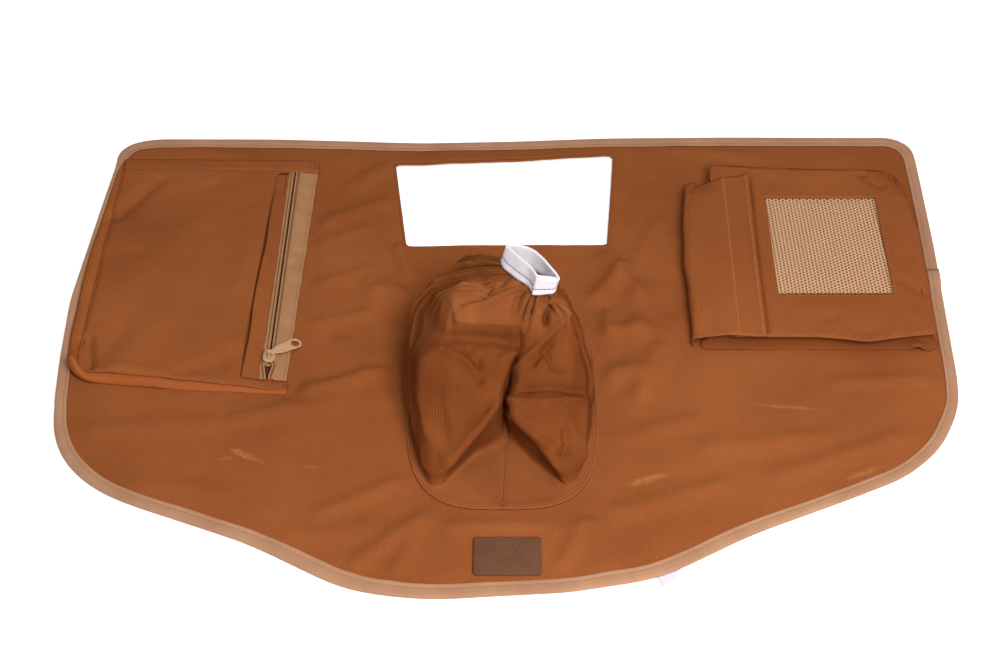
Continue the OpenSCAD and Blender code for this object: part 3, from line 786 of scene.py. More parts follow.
def ripple(points, size, seed):
    """Gentle noise from about -1 to 1, with patches as wide as size."""
    return np.array([noise.noise((x / size, y / size, seed)) for x, y in points])


def lay(points):
    """How far the cloth stands above the floor at places on the pattern, from its soft folds."""
    points = np.asarray(points, float)[:, :2]
    height = creased(points, FOLDS) + 0.8 * (ripple(points, 34, 3.7) + 1)
    height = height + 0.3 * (ripple(points, 13, 9.1) + 1)
    seam = 0.5 * (1 - smooth_step(9, 13, distance_to(points, window)))
    return height * held_flat(points) + seam


print("Largest drift of the edge in millimetres:", round(float(np.abs(outline_drift).max()), 1))

# %% [markdown]
# ## The panel and its binding
# The panel is one sheet of canvas with two holes: the window, and the opening under the sleeve. A triangle
# mesh fills the outline, so the holes need no cutting afterwards. The binding is a strip of bias tape
# folded over the edge. One folded section goes round the outline and a little over its own start, where the
# real tape is lapped, with a groove where it is stitched.

# %% Panel
PANEL_THICKNESS = 1.0
PANEL_INSIDE_BINDING = 1.5

panel_edge = outline + outline_inward * PANEL_INSIDE_BINDING
foot_hole = foot_loop(FLANGE + 0.8, 160)
plan, panel_faces = filled(panel_edge, [window, foot_hole], 4.2)
panel_points = np.column_stack([drifted(plan), PANEL_THICKNESS + lay(plan)])
panel = cloth("panel", panel_points, panel_faces, PANEL_THICKNESS - 0.05, panel_finish)
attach(panel, "panel")
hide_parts("main_panel")


# %% Binding
BINDING_SECTION = np.array([
    (12.0, 0.0), (6.0, 0.0), (1.2, 0.06), (0.35, 0.4), (0.0, 1.1), (0.3, 1.75), (1.2, 2.2), (3.0, 2.38),
    (6.0, 2.32), (8.1, 2.02), (8.8, 1.74), (9.5, 1.98), (11.0, 2.06), (12.2, 1.95), (12.5, 1.72),
])
BINDING_STITCH = 8.8
BINDING_CLOTH = 0.4
LAP_PLACE = (345, 80)
LAP_LENGTH = 9.0
LAP_RISE = 0.7


def binding_at(inset):
    """Places on the pattern at a distance inside the outline, with the tape's own slight waver."""
    run = outline_run[:-1]
    waver = 0.35 * np.sin(run / 17) + 0.25 * np.sin(run / 7.3 + 1) + 0.2 * np.sin(run / 41 + 2)
    width = np.interp(outline[:, 1], [-235, -180, -70, 240, 262], [1.0, 0.9, 0.74, 0.74, 1.0])
    return outline + outline_inward * (inset * width * (1 + 0.035 * waver))[:, None]


def binding_rows():
    """The tape's outer side, from its lower edge to its upper one, round once and over its own start."""
    first = np.argmin(np.linalg.norm(outline - LAP_PLACE, axis=1))
    over = int(round(LAP_LENGTH / 4)) + 1
    round_once = (np.arange(len(outline) + over) + first) % len(outline)
    lapped = LAP_RISE * smooth_step(len(outline) - 4, len(outline) - 1, np.arange(len(round_once)))
    rows = []
    for inset, z in BINDING_SECTION:
        place = binding_at(inset)
        row = np.column_stack([drifted(place), z + lay(place)])[round_once]
        row[:, 2] += lapped * (z > 0.9)
        row[:, :2] -= outline_inward[round_once] * (lapped * (inset < 4))[:, None]
        rows.append(row)
    return np.array(rows)


tape = binding_rows()
binding = sheet_of("binding", tape, BINDING_CLOTH, binding_finish)
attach(binding, "panel")
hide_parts("edge_binding")

# %% Window facing
FACING_SECTION = [(14.0, 0.0), (1.0, 0.05), (0.25, 0.35), (0.0, 0.85), (0.25, 1.35), (1.0, 1.6), (2.6, 1.55)]
FACING_CLOTH = 0.4
window_outward = -inward(window)


def facing_rows():
    rows = []
    for outset, z in FACING_SECTION:
        place = window + window_outward * outset
        rows.append(np.column_stack([drifted(place), z + lay(place) - 0.5])[::-1])
    return np.array(rows)


turned_edge = facing_rows()
window_length = length_round(window)
facing = cloth("window_facing_cloth", turned_edge.reshape(-1, 3),
               grid_faces(*turned_edge.shape[:2], ring=True),
               FACING_CLOTH, folded_finish, sheet_uv(turned_edge), window_length)
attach(facing, "panel")
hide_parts("window_facing")
print("Window edge in millimetres:", round(float(window_length)))

# %% [markdown]
# ## Stitches
# A seam is hundreds of small equal stitches that follow a path, which is what Geometry Nodes are for. The
# tree takes paths as bare edges, spaces points along them, and puts one short rounded thread on each point,
# turned along the path and lying on the cloth. Each path carries the direction that is up for it.


# %% Stitch tree
def new_tree(name, sockets):
    """A Geometry Nodes tree with a geometry going in and out, and named inputs."""
    tree = bpy.data.node_groups.new(name, "GeometryNodeTree")
    tree.interface.new_socket("Geometry", in_out="INPUT", socket_type="NodeSocketGeometry")
    for label, kind in sockets:
        tree.interface.new_socket(label, in_out="INPUT", socket_type=kind)
    tree.interface.new_socket("Geometry", in_out="OUTPUT", socket_type="NodeSocketGeometry")
    return tree, tree.nodes.new("NodeGroupInput").outputs, tree.nodes.new("NodeGroupOutput")


def close_tree(tree, geometry_socket, material_socket, end):
    """The end of every tree: real geometry, smooth, with its material."""
    real = add(tree, "GeometryNodeRealizeInstances", {0: geometry_socket}).outputs[0]
    smooth = add(tree, "GeometryNodeSetShadeSmooth", {"Geometry": real}).outputs[0]
    finished = add(tree, "GeometryNodeSetMaterial", {"Geometry": smooth, "Material": material_socket})
    tree.links.new(finished.outputs[0], end.inputs[0])


def along_path(tree, tangent):
    """A rotation that turns X along a path and Z as near as it can to the path's own up direction."""
    turned = add(tree, "FunctionNodeAlignRotationToVector", {"Vector": tangent}, axis="X").outputs[0]
    up = add(tree, "GeometryNodeInputNamedAttribute", {"Name": "up"}, data_type="FLOAT_VECTOR").outputs[0]
    return add(tree, "FunctionNodeAlignRotationToVector", {"Rotation": turned, "Vector": up},
               axis="Z", pivot_axis="X").outputs[0]


def stitch_tree():
    tree, inputs, end = new_tree("stitch_row", [
        ("Pitch", "NodeSocketFloat"), ("Stitch Size", "NodeSocketVector"), ("Thread", "NodeSocketMaterial")])
    path = add(tree, "GeometryNodeMeshToCurve", {0: inputs["Geometry"]}).outputs[0]
    spaced = add(tree, "GeometryNodeResampleCurve", {"Curve": path, "Length": inputs["Pitch"]}, mode="LENGTH")
    bead = add(tree, "GeometryNodeMeshUVSphere", {"Segments": 6, "Rings": 4, "Radius": 0.5})
    stitch = add(tree, "GeometryNodeTransform", {"Geometry": bead.outputs[0], "Scale": inputs["Stitch Size"]})
    tangent = add(tree, "GeometryNodeInputTangent").outputs[0]
    row = add(tree, "GeometryNodeInstanceOnPoints",
              {"Points": spaced.outputs[0], "Instance": stitch.outputs[0],
               "Rotation": along_path(tree, tangent)})
    close_tree(tree, row.outputs[0], inputs["Thread"], end)
    return tree


def run_tree(name, source, tree, values):
    """Runs a tree on an object and returns its result as a plain mesh object."""
    modifier = source.modifiers.new("nodes", "NODES")
    modifier.node_group = tree
    for socket in tree.interface.items_tree:
        if socket.in_out == "INPUT" and socket.name in values:
            modifier[socket.identifier] = values[socket.name]
    evaluated = source.evaluated_get(bpy.context.evaluated_depsgraph_get())
    mesh = bpy.data.meshes.new_from_object(evaluated)
    mesh.name = name
    bpy.data.objects.remove(source)
    return placed(name, mesh)


def paths_object(name, paths):
    """Bare edges along paths of (points, up direction, closed), with that direction on each point."""
    points, edges, ups = [], [], []
    for path, up, closed in paths:
        start, count = len(points), len(path)
        points += (np.asarray(path, float) * MM).tolist()
        ups += np.broadcast_to(np.asarray(up, float), (count, 3)).tolist()
        edges += [(start + k, start + k + 1) for k in range(count - 1)]
        if closed:
            edges.append((start + count - 1, start))
    mesh = bpy.data.meshes.new(name)
    mesh.from_pydata(points, edges, [])
    mesh.attributes.new("up", "FLOAT_VECTOR", "POINT").data.foreach_set("vector", np.array(ups).ravel())
    return placed(name, mesh)


UP = (0, 0, 1)
stitches = stitch_tree()


def sew(name, paths, thread, pitch=3.0, size=(2.5, 0.55, 0.5)):
    """One piece of stitching along several paths."""
    values = {"Pitch": pitch * MM, "Stitch Size": tuple(v * MM for v in size), "Thread": thread}
    return run_tree(name, paths_object(name + "_paths", paths), stitches, values)


def on_panel(points, height):
    """Points on the lying panel, at a height above its underside."""
    points = np.asarray(points, float)[:, :2]
    return np.column_stack([drifted(points), height + lay(points)])


# %% Stitches on the panel
binding_row = on_panel(binding_at(BINDING_STITCH), 1.82)
binding_seam = sew("binding_stitches", [(binding_row, UP, True)], tan_thread)
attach(binding_seam, "panel")
window_row = on_panel(window + window_outward * 3.8, 1.1)
window_seam = sew("window_stitches", [(window_row, UP, True)], rust_thread)
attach(window_seam, "panel")
print("Stitched the binding and the window:", len(binding_seam.data.polygons), len(window_seam.data.polygons))

# %% [markdown]
# ## The sleeve
# The sleeve is a tube of thin coated cloth, sewn to the panel along a raised foot and gathered into the cuff.
# It slumps: its front middle lies flat on the panel as a three-cornered apron, and the cloth on either side
# of the centre seam bulges forward into two lobes with a deep crease between them. A cloth simulation would
# slump somewhere else each time, so the slump is given: every strip of cloth runs from its place on the
# foot to its place on the cuff along a profile. Gathers, creases and noise come after.

# %% Foot, cuff and the strips between them
SLEEVE_AROUND = 360
WALL_ROWS = 100
SLEEVE_THICKNESS = 0.8
WALL_START = 4.8
FOOT_TOP = 1.8
CUFF_LOW_CORNERS = [
    (18.7, -51.3), (32.9, -53.6), (35.4, -46.1), (29, -35), (20.8, -26.6), (12.4, -20), (5.2, -14.6),
    (-1.4, -11), (-4.7, -12.2), (-4.2, -17), (-1.3, -24.1), (4.4, -32), (10.3, -38.8), (15.7, -44.4),
]
CUFF_LOW, CUFF_HIGH = 92.0, 107.0
ELASTIC = 1.4
CUFF_TUCK = 3.0


def smooth_loop(corners, count):
    """A closed curve that starts at its first corner and rounds the others, anticlockwise."""
    fine = resampled(np.array(corners, float), count=480, closed=True)
    fine = sum(np.roll(fine, k, axis=0) for k in range(-8, 9)) / 17
    return resampled(fine, count=count, closed=True)


cuff_low = smooth_loop(CUFF_LOW_CORNERS, SLEEVE_AROUND)
foot_inner = foot_loop(WALL_START, SLEEVE_AROUND)
cuff_inner = cuff_low + inward(cuff_low) * (ELASTIC + 0.4)
foot_step = np.linalg.norm(foot_inner[1] - foot_inner[0])
from_seam = (np.arange(SLEEVE_AROUND) + SLEEVE_AROUND // 2) % SLEEVE_AROUND - SLEEVE_AROUND // 2
from_seam = from_seam * foot_step
print("Round the foot in millimetres:", round(foot_step * SLEEVE_AROUND, 1))

# %% [markdown]
# The slump is given as profiles. Profiles stand at places round the foot, counted from the centre seam and
# positive to the right. Each profile holds seven points from the foot up to the cuff, read in the picture
# as a pixel and a height: where the cloth lifts off the panel, the lower edge of the lobe, four places up
# the face and the shoulder. Straight lines between them give the flat facets that stiff cloth breaks into.

# %% The slump
SLEEVE_PROFILES = [
    (-262, [(452, 305, 3), (452, 301, 8), (452, 295, 15), (453, 286, 26), (456, 273, 39), (463, 260, 55),
            (481, 256, 70)]),
    (-200, [(417, 350, 3), (415, 345, 8), (413, 338, 14), (411, 327, 21), (411, 307, 32), (430, 284, 48),
            (457, 265, 66)]),
    (-130, [(411, 415, 3), (409, 408, 7), (408, 397, 12), (408, 378, 19), (409, 346, 28), (411, 311, 38),
            (430, 287, 54)]),
    (-85, [(418, 459, 3), (416, 450, 8), (414, 432, 16), (413, 398, 27), (414, 360, 40), (427, 328, 52),
            (443, 297, 72)]),
    (-72, [(424, 474, 4), (422, 463, 10), (421, 438, 22), (421, 400, 37), (423, 360, 52), (443, 336, 63),
            (452, 300, 80)]),
    (-62, [(430, 484, 3), (430, 477, 10), (431, 446, 24), (431, 402, 40), (434, 362, 53), (448, 337, 62),
            (456, 303, 80)]),
    (-52, [(440, 487, 3), (447, 467, 20), (448, 439, 28), (447, 400, 43), (449, 366, 54), (455, 338, 62),
            (463, 307, 80)]),
    (-30, [(473, 455, 3), (476, 433, 34), (477, 412, 38), (480, 386, 47), (481, 362, 55), (484, 340, 60),
            (489, 312, 78)]),
    (-12, [(492, 446, 4), (493, 412, 40), (498, 398, 41), (505, 380, 46), (511, 361, 52), (515, 343, 57),
            (518, 320, 71)]),
    (0, [(506.5, 441, 4), (505.5, 427, 6), (504, 404, 15), (507, 382, 28), (514, 362, 42), (519, 344, 54),
            (522, 322, 68)]),
    (12, [(516, 444, 4), (513, 414, 32), (511, 402, 38), (515, 388, 42), (521, 366, 48), (525, 345, 57),
            (528, 322, 70)]),
    (30, [(534, 462, 3), (533, 437, 26), (534, 417, 34), (537, 391, 43), (539, 366, 51), (541, 345, 59),
            (542, 320, 71)]),
    (52, [(566, 486, 3), (555, 468, 18), (559, 440, 26), (563, 399, 38), (562, 368, 47), (561, 345, 56),
            (558, 318, 71)]),
    (62, [(575, 483, 3), (573, 475, 10), (575, 444, 20), (576, 402, 33), (574, 371, 44), (570, 345, 55),
            (564, 316, 70)]),
    (74, [(582, 470, 4), (584, 460, 8), (586, 441, 15), (587, 402, 27), (584, 374, 39), (578, 345, 52),
            (569, 315, 69)]),
    (130, [(591, 428, 3), (592, 415, 8), (592, 398, 14), (590, 379, 22), (585, 354, 35), (577, 332, 48),
            (567, 308, 65)]),
    (200, [(588, 352, 3), (588, 348, 6), (586, 342, 11), (582, 333, 19), (576, 320, 31), (569, 306, 44),
            (562, 291, 62)]),
    (262, [(551, 306, 3), (552, 304, 6), (553, 301, 11), (553, 297, 18), (552, 291, 28), (550, 284, 42),
            (547, 274, 62)]),
]
REAR = [
    (502.5, 303, 3), (503, 301, 6), (505, 298, 11), (507, 294, 18), (509, 288, 28), (512, 280, 43),
    (516, 269, 65),
]
LEVELS = [0, 0.16, 0.26, 0.34, 0.47, 0.59, 0.71, 0.83, 1]


def sleeve_wall():
    """Points of the wall, one row for each step from the foot to the cuff."""
    half = foot_step * SLEEVE_AROUND / 2
    profiles = [(-half, REAR)] + SLEEVE_PROFILES + [(half, REAR)]
    places = [place for place, _ in profiles]
    shaped = np.array([[from_picture(*spot) for spot in spots] for _, spots in profiles])
    t = np.linspace(0, 1, WALL_ROWS)
    made = np.zeros((WALL_ROWS, SLEEVE_AROUND, 3))
    for column, place in enumerate(from_seam):
        middle = [[np.interp(place, places, shaped[:, level, axis]) for axis in range(3)]
                  for level in range(7)]
        ends = np.append(foot_inner[column], FOOT_TOP), np.append(cuff_inner[column], CUFF_LOW)
        profile = np.array([ends[0], *middle, ends[1]])
        made[:, column] = np.stack([np.interp(t, LEVELS, profile[:, axis]) for axis in range(3)], axis=1)
    share = np.clip((t - LEVELS[1]) / (1 - LEVELS[1]), 0, 1)
    return made, np.broadcast_to(share[:, None], made.shape[:2])


def relaxed(grid, passes, strength=0.5):
    """A ring-shaped grid with its inner rows eased towards the mean of their neighbours."""
    for _ in range(passes):
        around = (np.roll(grid, 1, axis=1) + np.roll(grid, -1, axis=1)) / 2
        upward = grid.copy()
        upward[1:-1] = (grid[2:] + grid[:-2]) / 2
        eased = mix(grid, (around + upward) / 2, strength)
        grid = np.concatenate([grid[:1], eased[1:-1], grid[-1:]])
    return grid


wall, wall_share = sleeve_wall()
wall = relaxed(wall, 4)
print("Sleeve wall, rows by columns:", wall.shape[:2])

# %% [markdown]
# Stiff coated cloth does not ripple, it breaks into facets. The larger creases are drawn as lines in
# the picture, each with a half width in pixels and a rise in millimetres: a rise makes a ridge and a fall
# makes a valley. Only cloth that faces the camera takes them. Pleats under the cuff and noise do the rest.

# %% Gathers, creases and wrinkles
DRAWN_CREASES = [
    ([(509, 270), (476, 278), (453, 299), (458, 319)], 3.4, 4.0),
    ([(482, 279), (486, 290), (483, 296)], 2.1, -8.0), ([(510, 271), (501, 285)], 2.2, -8.0),
    ([(522, 285), (515, 314)], 2.4, -8.0), ([(496, 277), (489, 288)], 2.1, -5.0),
    ([(446, 336), (480, 338), (508, 341)], 6.0, -6.4), ([(459, 320), (484, 322), (519, 324)], 3.8, 3.5),
    ([(441, 348), (463, 360), (478, 372)], 2.9, 6.0), ([(515, 352), (502, 360)], 3.4, 3.6),
    ([(478, 360), (480, 381)], 2.8, -6.5), ([(469, 350), (476, 366)], 2.4, -4.5),
    ([(421, 348), (420, 390), (427, 435), (450, 462)], 4.3, 2.4),
    ([(451, 463), (480, 429), (500, 400)], 3.6, 2.4), ([(551, 344), (533, 362)], 3.2, -6.5),
    ([(571, 313), (545, 340), (516, 369)], 3.6, 3.6), ([(547, 353), (553, 366), (563, 369)], 2.1, -5.5),
    ([(521, 388), (554, 386), (583, 392)], 4.4, -7.5), ([(509, 400), (545, 402), (583, 399)], 3.6, 4.4),
    ([(560, 291), (553, 306), (546, 321)], 2.9, -12.0), ([(563, 292), (568, 311)], 2.8, 3.0),
    ([(540, 298), (541, 309)], 1.8, -3.6), ([(546, 298), (546, 305)], 1.8, -3.0),
    ([(509, 415), (551, 449), (560, 449)], 3.2, 4.5), ([(566, 432), (570, 448), (560, 452)], 3.2, -8.5),
    ([(569, 437), (583, 442), (584, 458)], 2.8, 3.0), ([(556, 472), (570, 489)], 2.4, -2.0),
    ([(426, 487), (444, 480)], 2.5, -2.8), ([(440, 400), (446, 440)], 5.1, -2.8),
    ([(565, 405), (570, 425)], 4.3, 2.4),
]


def row_normals(grid):
    """Outward normals of a ring-shaped grid of points."""
    rows, columns = grid.shape[:2]
    faces = grid_faces(rows, columns, ring=True)
    return normals_of(grid.reshape(-1, 3), faces).reshape(grid.shape)


def gather_depth():
    """How far the cloth stands out in pleats below the cuff."""
    turn = np.arange(SLEEVE_AROUND) / SLEEVE_AROUND * 2 * math.pi
    wander = np.array([noise.noise((math.cos(a) * 2.2, math.sin(a) * 2.2, 1.3)) for a in turn])
    folds = (0.5 + 0.5 * np.cos(19 * turn + 6 * wander)) ** 3
    folds = folds + 0.7 * (0.5 + 0.5 * np.cos(31 * turn + 9 * wander)) ** 3
    swell = smooth_step(0.66, 0.9, wall_share) * (1 - 0.6 * smooth_step(0.96, 1.0, wall_share))
    return (0.8 - 3.2 * folds[None, :]) * swell


def drawn_depth(normals):
    """The depth of the creases that were drawn in the picture."""
    spots = in_picture(wall).reshape(-1, 2)
    to_eye = np.array(EYE) / MM - wall
    facing = (normals * to_eye).sum(2) / np.linalg.norm(to_eye, axis=2)
    depth = np.zeros(len(spots))
    for line, width, rise in DRAWN_CREASES:
        depth += rise * np.exp(-(distance_to(spots, np.array(line, float), closed=False) / width) ** 1.15)
    return depth.reshape(facing.shape) * smooth_step(0.0, 0.3, facing)


def wrinkle_depth():
    """Folds that run down the sides and the back, and smaller soft dents over the whole wall."""
    made = np.zeros(wall.shape[:2])
    turn = from_seam / (foot_step * SLEEVE_AROUND) * 2 * math.pi
    beside = smooth_step(75, 130, np.abs(from_seam))
    for r in range(wall.shape[0]):
        for c in range(wall.shape[1]):
            x, y, z = wall[r, c]
            share = wall_share[r, c]
            angle = turn[c] + 0.3 * share
            drape = noise.noise((3.6 * math.cos(angle), 3.6 * math.sin(angle), 1.3 * share))
            made[r, c] = beside[c] * ((1 - abs(drape)) ** 4 * 3.4 - 1.2)
            made[r, c] += (1 - abs(noise.noise((x / 30 + 7, y / 34, z / 17)))) ** 4 * 1.3
            made[r, c] += noise.noise((x / 12, y / 12 + 3, z / 9)) * 0.4
    return made


free_cloth = smooth_step(0.02, 0.16, wall_share) * (1 - smooth_step(0.955, 1.0, wall_share))
wall_normals = row_normals(wall)
wall_depth = gather_depth() + (drawn_depth(wall_normals) + wrinkle_depth()) * free_cloth
wall = wall + wall_normals * wall_depth[..., None]
wall = relaxed(wall, 1, 0.35)
wall[..., 2] = np.maximum(wall[..., 2], FOOT_TOP + 0.1)
print("Sleeve height in millimetres:", round(float(wall[..., 2].max()), 1))

# %% Foot, tuck and the whole sleeve
FLANGE_SECTION = [(0.0, 1.05), (-0.1, 1.9), (0.35, 2.6), (1.2, 2.75), (2.2, 2.45), (3.0, 2.0), (3.6, 2.1)]
FOOT_STITCH = 3.0


def sleeve_rows():
    flange = [np.column_stack([foot_loop(inset, SLEEVE_AROUND), np.full(SLEEVE_AROUND, z)])
              for inset, z in FLANGE_SECTION]
    tuck = [np.column_stack([cuff_inner, np.full(SLEEVE_AROUND, CUFF_LOW + rise)])
            for rise in (1, 2, CUFF_TUCK)]
    rows = np.concatenate([flange, wall, tuck])
    seam = bell(from_seam, 0, 1.6)
    rows[len(flange):len(flange) + WALL_ROWS] -= (row_normals(wall) * (0.55 * seam)[None, :, None])
    rows[:len(flange), :, 2] += 0.5 * seam
    return rows


rows = sleeve_rows()
up_cloth = np.concatenate([np.zeros((1, SLEEVE_AROUND)),
                           np.cumsum(np.linalg.norm(np.diff(rows, axis=0), axis=2), axis=0)])
sleeve_uv = np.stack([np.broadcast_to(from_seam, up_cloth.shape), up_cloth], axis=2).reshape(-1, 2)
sleeve = cloth("sleeve_cloth_tube", rows.reshape(-1, 3), grid_faces(len(rows), SLEEVE_AROUND, ring=True),
               SLEEVE_THICKNESS, sleeve_finish, sleeve_uv)
sleeve_area = measured(sleeve)
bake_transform(sleeve)
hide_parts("sleeve")
print("Sleeve cloth in square metres:", round(sleeve_area, 4))

foot_row = np.column_stack([foot_loop(FOOT_STITCH, 400), np.full(400, 2.12)])
rim_row = np.column_stack([foot_loop(0.5, 400), np.full(400, 2.62)])
foot_seam = sew("foot_stitches", [(foot_row, UP, True), (rim_row, UP, True)], rust_thread, 2.6,
                (2.7, 0.8, 0.7))
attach(foot_seam, "panel")
# A close cord of dark thread runs along the centre seam: partly the seam's own stitching, partly painted
# shade standing in for the seam's shadow line.
seam_line = rows[2:-4, 0] + np.array([0, -0.1, 0.15])
seam_shade_cord = sew("sleeve_seam_painted_shade", [(seam_line, UP, False)], dark_thread, 1.3, (1.5, 0.45, 0.4))
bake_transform(seam_shade_cord)

# %% [markdown]
# ## The elastic cuff
# The cuff is one strip of white knitted elastic, closed into a loop with its end lapped over its start on the
# front right. The strip follows the loop a little more than once round, and the lap rides up over the layer
# below. A row of rust thread holds the gathered sleeve to its lower edge.

# %% Cuff
CUFF_HIGH_CORNERS = [(21.4, -50.5), (37.3, -53.3), (34.8, -45.1), (28, -30.9), (21.1, -20.6), (15.9, -16.6),
                     (9, -13.7), (2.4, -13.2), (-1.3, -14.3), (4.5, -21.7), (11, -31.1), (15.9, -38)]
CUFF_LAP = 15.0
CUFF_LAP_RISE = 1.5
CUFF_LAP_DROP = 1.0
CUFF_FRONT_LIFT = 2.6


def along_loop(loop, run):
    """Places on a closed loop at shares of its length, which may pass one, and the way outwards there."""
    place = run * len(loop)
    low = np.floor(place).astype(int) % len(loop)
    high, share = (low + 1) % len(loop), (place % 1)[:, None]
    outward = -inward(loop)
    return mix(loop[low], loop[high], share), mix(outward[low], outward[high], share)


def elastic_band_made():
    length = length_round(cuff_low)
    run = np.linspace(0, length + CUFF_LAP, 262)
    low, facing = along_loop(cuff_low, run / length)
    high, high_facing = along_loop(smooth_loop(CUFF_HIGH_CORNERS, SLEEVE_AROUND), run / length)
    over = 1 - smooth_step(CUFF_LAP * 0.8, CUFF_LAP * 2.2, run)
    lift = CUFF_FRONT_LIFT * (bell(run, 15, 10) + bell(run, length + 15, 10)) + 0.4 * np.sin(run / 15) - 0.3
    rise = np.linspace(0, 1, 10)
    grid = np.zeros((len(rise), len(run), 3))
    for k, share in enumerate(rise):
        flare = 0.4 * (1 - share) ** 2 - 0.35 * bell(share, 0.3, 0.1)
        ripple = 0.3 * np.sin(run / 2.6) * (1 - share) ** 2 + 0.2 * np.sin(run / 11 + 1)
        reach = CUFF_LAP_RISE * over + flare + ripple * 0.6
        grid[k, :, :2] = mix(low, high, share) + mix(facing, high_facing, share) * reach[:, None]
        grid[k, :, 2] = mix(CUFF_LOW, CUFF_HIGH, share) - CUFF_LAP_DROP * over + lift * (1 - share)
    uv = np.stack(np.meshgrid(rise * (CUFF_HIGH - CUFF_LOW), run, indexing="ij")[::-1], axis=2).reshape(-1, 2)
    made = cloth("elastic_band", grid.reshape(-1, 3), grid_faces(len(rise), len(run)), ELASTIC,
                 elastic_finish, uv)
    print("Elastic strip in millimetres:", round(length + CUFF_LAP, 1))
    return made, grid, facing


elastic_band, cuff_grid, cuff_facing = elastic_band_made()
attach(elastic_band, "cuff")
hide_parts("elastic_cuff")
stitch_line = cuff_grid[3] + np.column_stack([cuff_facing * 0.12, np.zeros(len(cuff_facing))])
cuff_up = np.column_stack([cuff_facing, np.zeros(len(cuff_facing))])
cuff_seam = sew("cuff_stitches", [(stitch_line, cuff_up, False)], red_thread, 2.1, (2.0, 0.85, 0.55))
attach(cuff_seam, "cuff")

# %% [markdown]
# ## Patch and tag
# The patch is a small piece of leatherette sewn to the panel near its lower edge, left bare here. Its edge is
# pressed thin and its stitch row sinks into it, so it swells a little between. The tag is a slip of white
# cloth caught in the binding.

# %% Patch
PATCH_CORNERS = [(23.5, -209, 2), (-23.5, -209, 2), (-23.5, -244, 2), (23.5, -244, 2)]
PATCH_STITCH = 2.4
patch_outline = resampled(rounded(PATCH_CORNERS, 1.0), 1.2, closed=True)
patch_plan, patch_faces = filled(patch_outline, [], 1.2)
patch_edge = distance_to(patch_plan, patch_outline)
patch_rise = 2.45 + 0.45 * smooth_step(0, 1.5, patch_edge) - 0.4 * bell(patch_edge, PATCH_STITCH, 0.7)
patch_rise += 0.25 * smooth_step(3, 12, patch_edge) + 0.12 * ripple(patch_plan, 9, 5.0)
patch_top = np.column_stack([patch_plan, patch_rise + lay(patch_plan)])
patch = cloth("label_patch_cloth", patch_top, patch_faces, 1.1, patch_finish)
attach(patch, "panel")
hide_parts("label_patch")
patch_row = patch_outline + inward(patch_outline) * PATCH_STITCH
patch_seam = sew("patch_stitches", [(on_panel(patch_row, 2.52), UP, True)], dark_thread, 2.6,
                 (2.0, 0.5, 0.45))
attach(patch_seam, "panel")
print("Patch triangles:", len(patch_faces))

# %% Tag
TAG_CORNERS = np.array([(101.0, -243.0), (118.5, -236.0), (115.8, -245.5), (105.5, -253.0)])


def tag_grid():
    """A slip of cloth between four corners, curling up a little at its free end."""
    across, along = np.meshgrid(np.linspace(0, 1, 9), np.linspace(0, 1, 11))
    top = mix(TAG_CORNERS[0], TAG_CORNERS[1], across[..., None])
    low = mix(TAG_CORNERS[3], TAG_CORNERS[2], across[..., None])
    plan = mix(top, low, along[..., None])
    z = 0.15 + 1.1 * along ** 2 * across + 0.25 * np.sin(3 * across + 2 * along)
    return np.concatenate([plan, z[..., None] - 0.2], axis=2)[::-1]


tag_points = tag_grid()
tag = sheet_of("care_tag", tag_points, 0.3, tag_finish, mapped=False)
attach(tag, "panel")
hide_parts("care_label")
print("Tag faces:", len(tag.data.polygons))

# %% [markdown]
# ## The zip pocket
# A bellows pocket has a front and a gusset, a long strip folded inwards so that the pocket can fill. Empty,
# the gusset lies under the front's edge in two plies, and its outer fold shows as a narrow band. The front
# is a triangle mesh inside its outline, and the gusset is one folded section that follows the same edge, so
# the two always meet. The pocket is flat along its top, where it is sewn down, and full height lower down.


# %% Folded edges
POCKET_CLOTH, GUSSET_CLOTH, FOLDED_CLOTH, TAPE_CLOTH = 0.9, 0.7, 0.6, 0.5


def eased_path(points, step, passes=12):
    """An open path through given points, with its corners eased."""
    path = resampled(points, step)
    for _ in range(passes):
        path[1:-1] = (path[:-2] + 2 * path[1:-1] + path[2:]) / 4
    return path


def right_of(path):
    """The direction to the right of each point of a path, which is outwards where it runs anticlockwise."""
    along = np.gradient(path, axis=0)
    along /= np.linalg.norm(along, axis=1, keepdims=True)
    return np.stack([along[:, 1], -along[:, 0]], axis=1)


def folded_strip(path, sections):
    """Points of a strip along a path: for each place, a section of (distance outwards, height)."""
    side = right_of(path)
    plan = path[:, None] + side[:, None] * sections[..., :1]
    return np.concatenate([plan, sections[..., 1:]], axis=2)


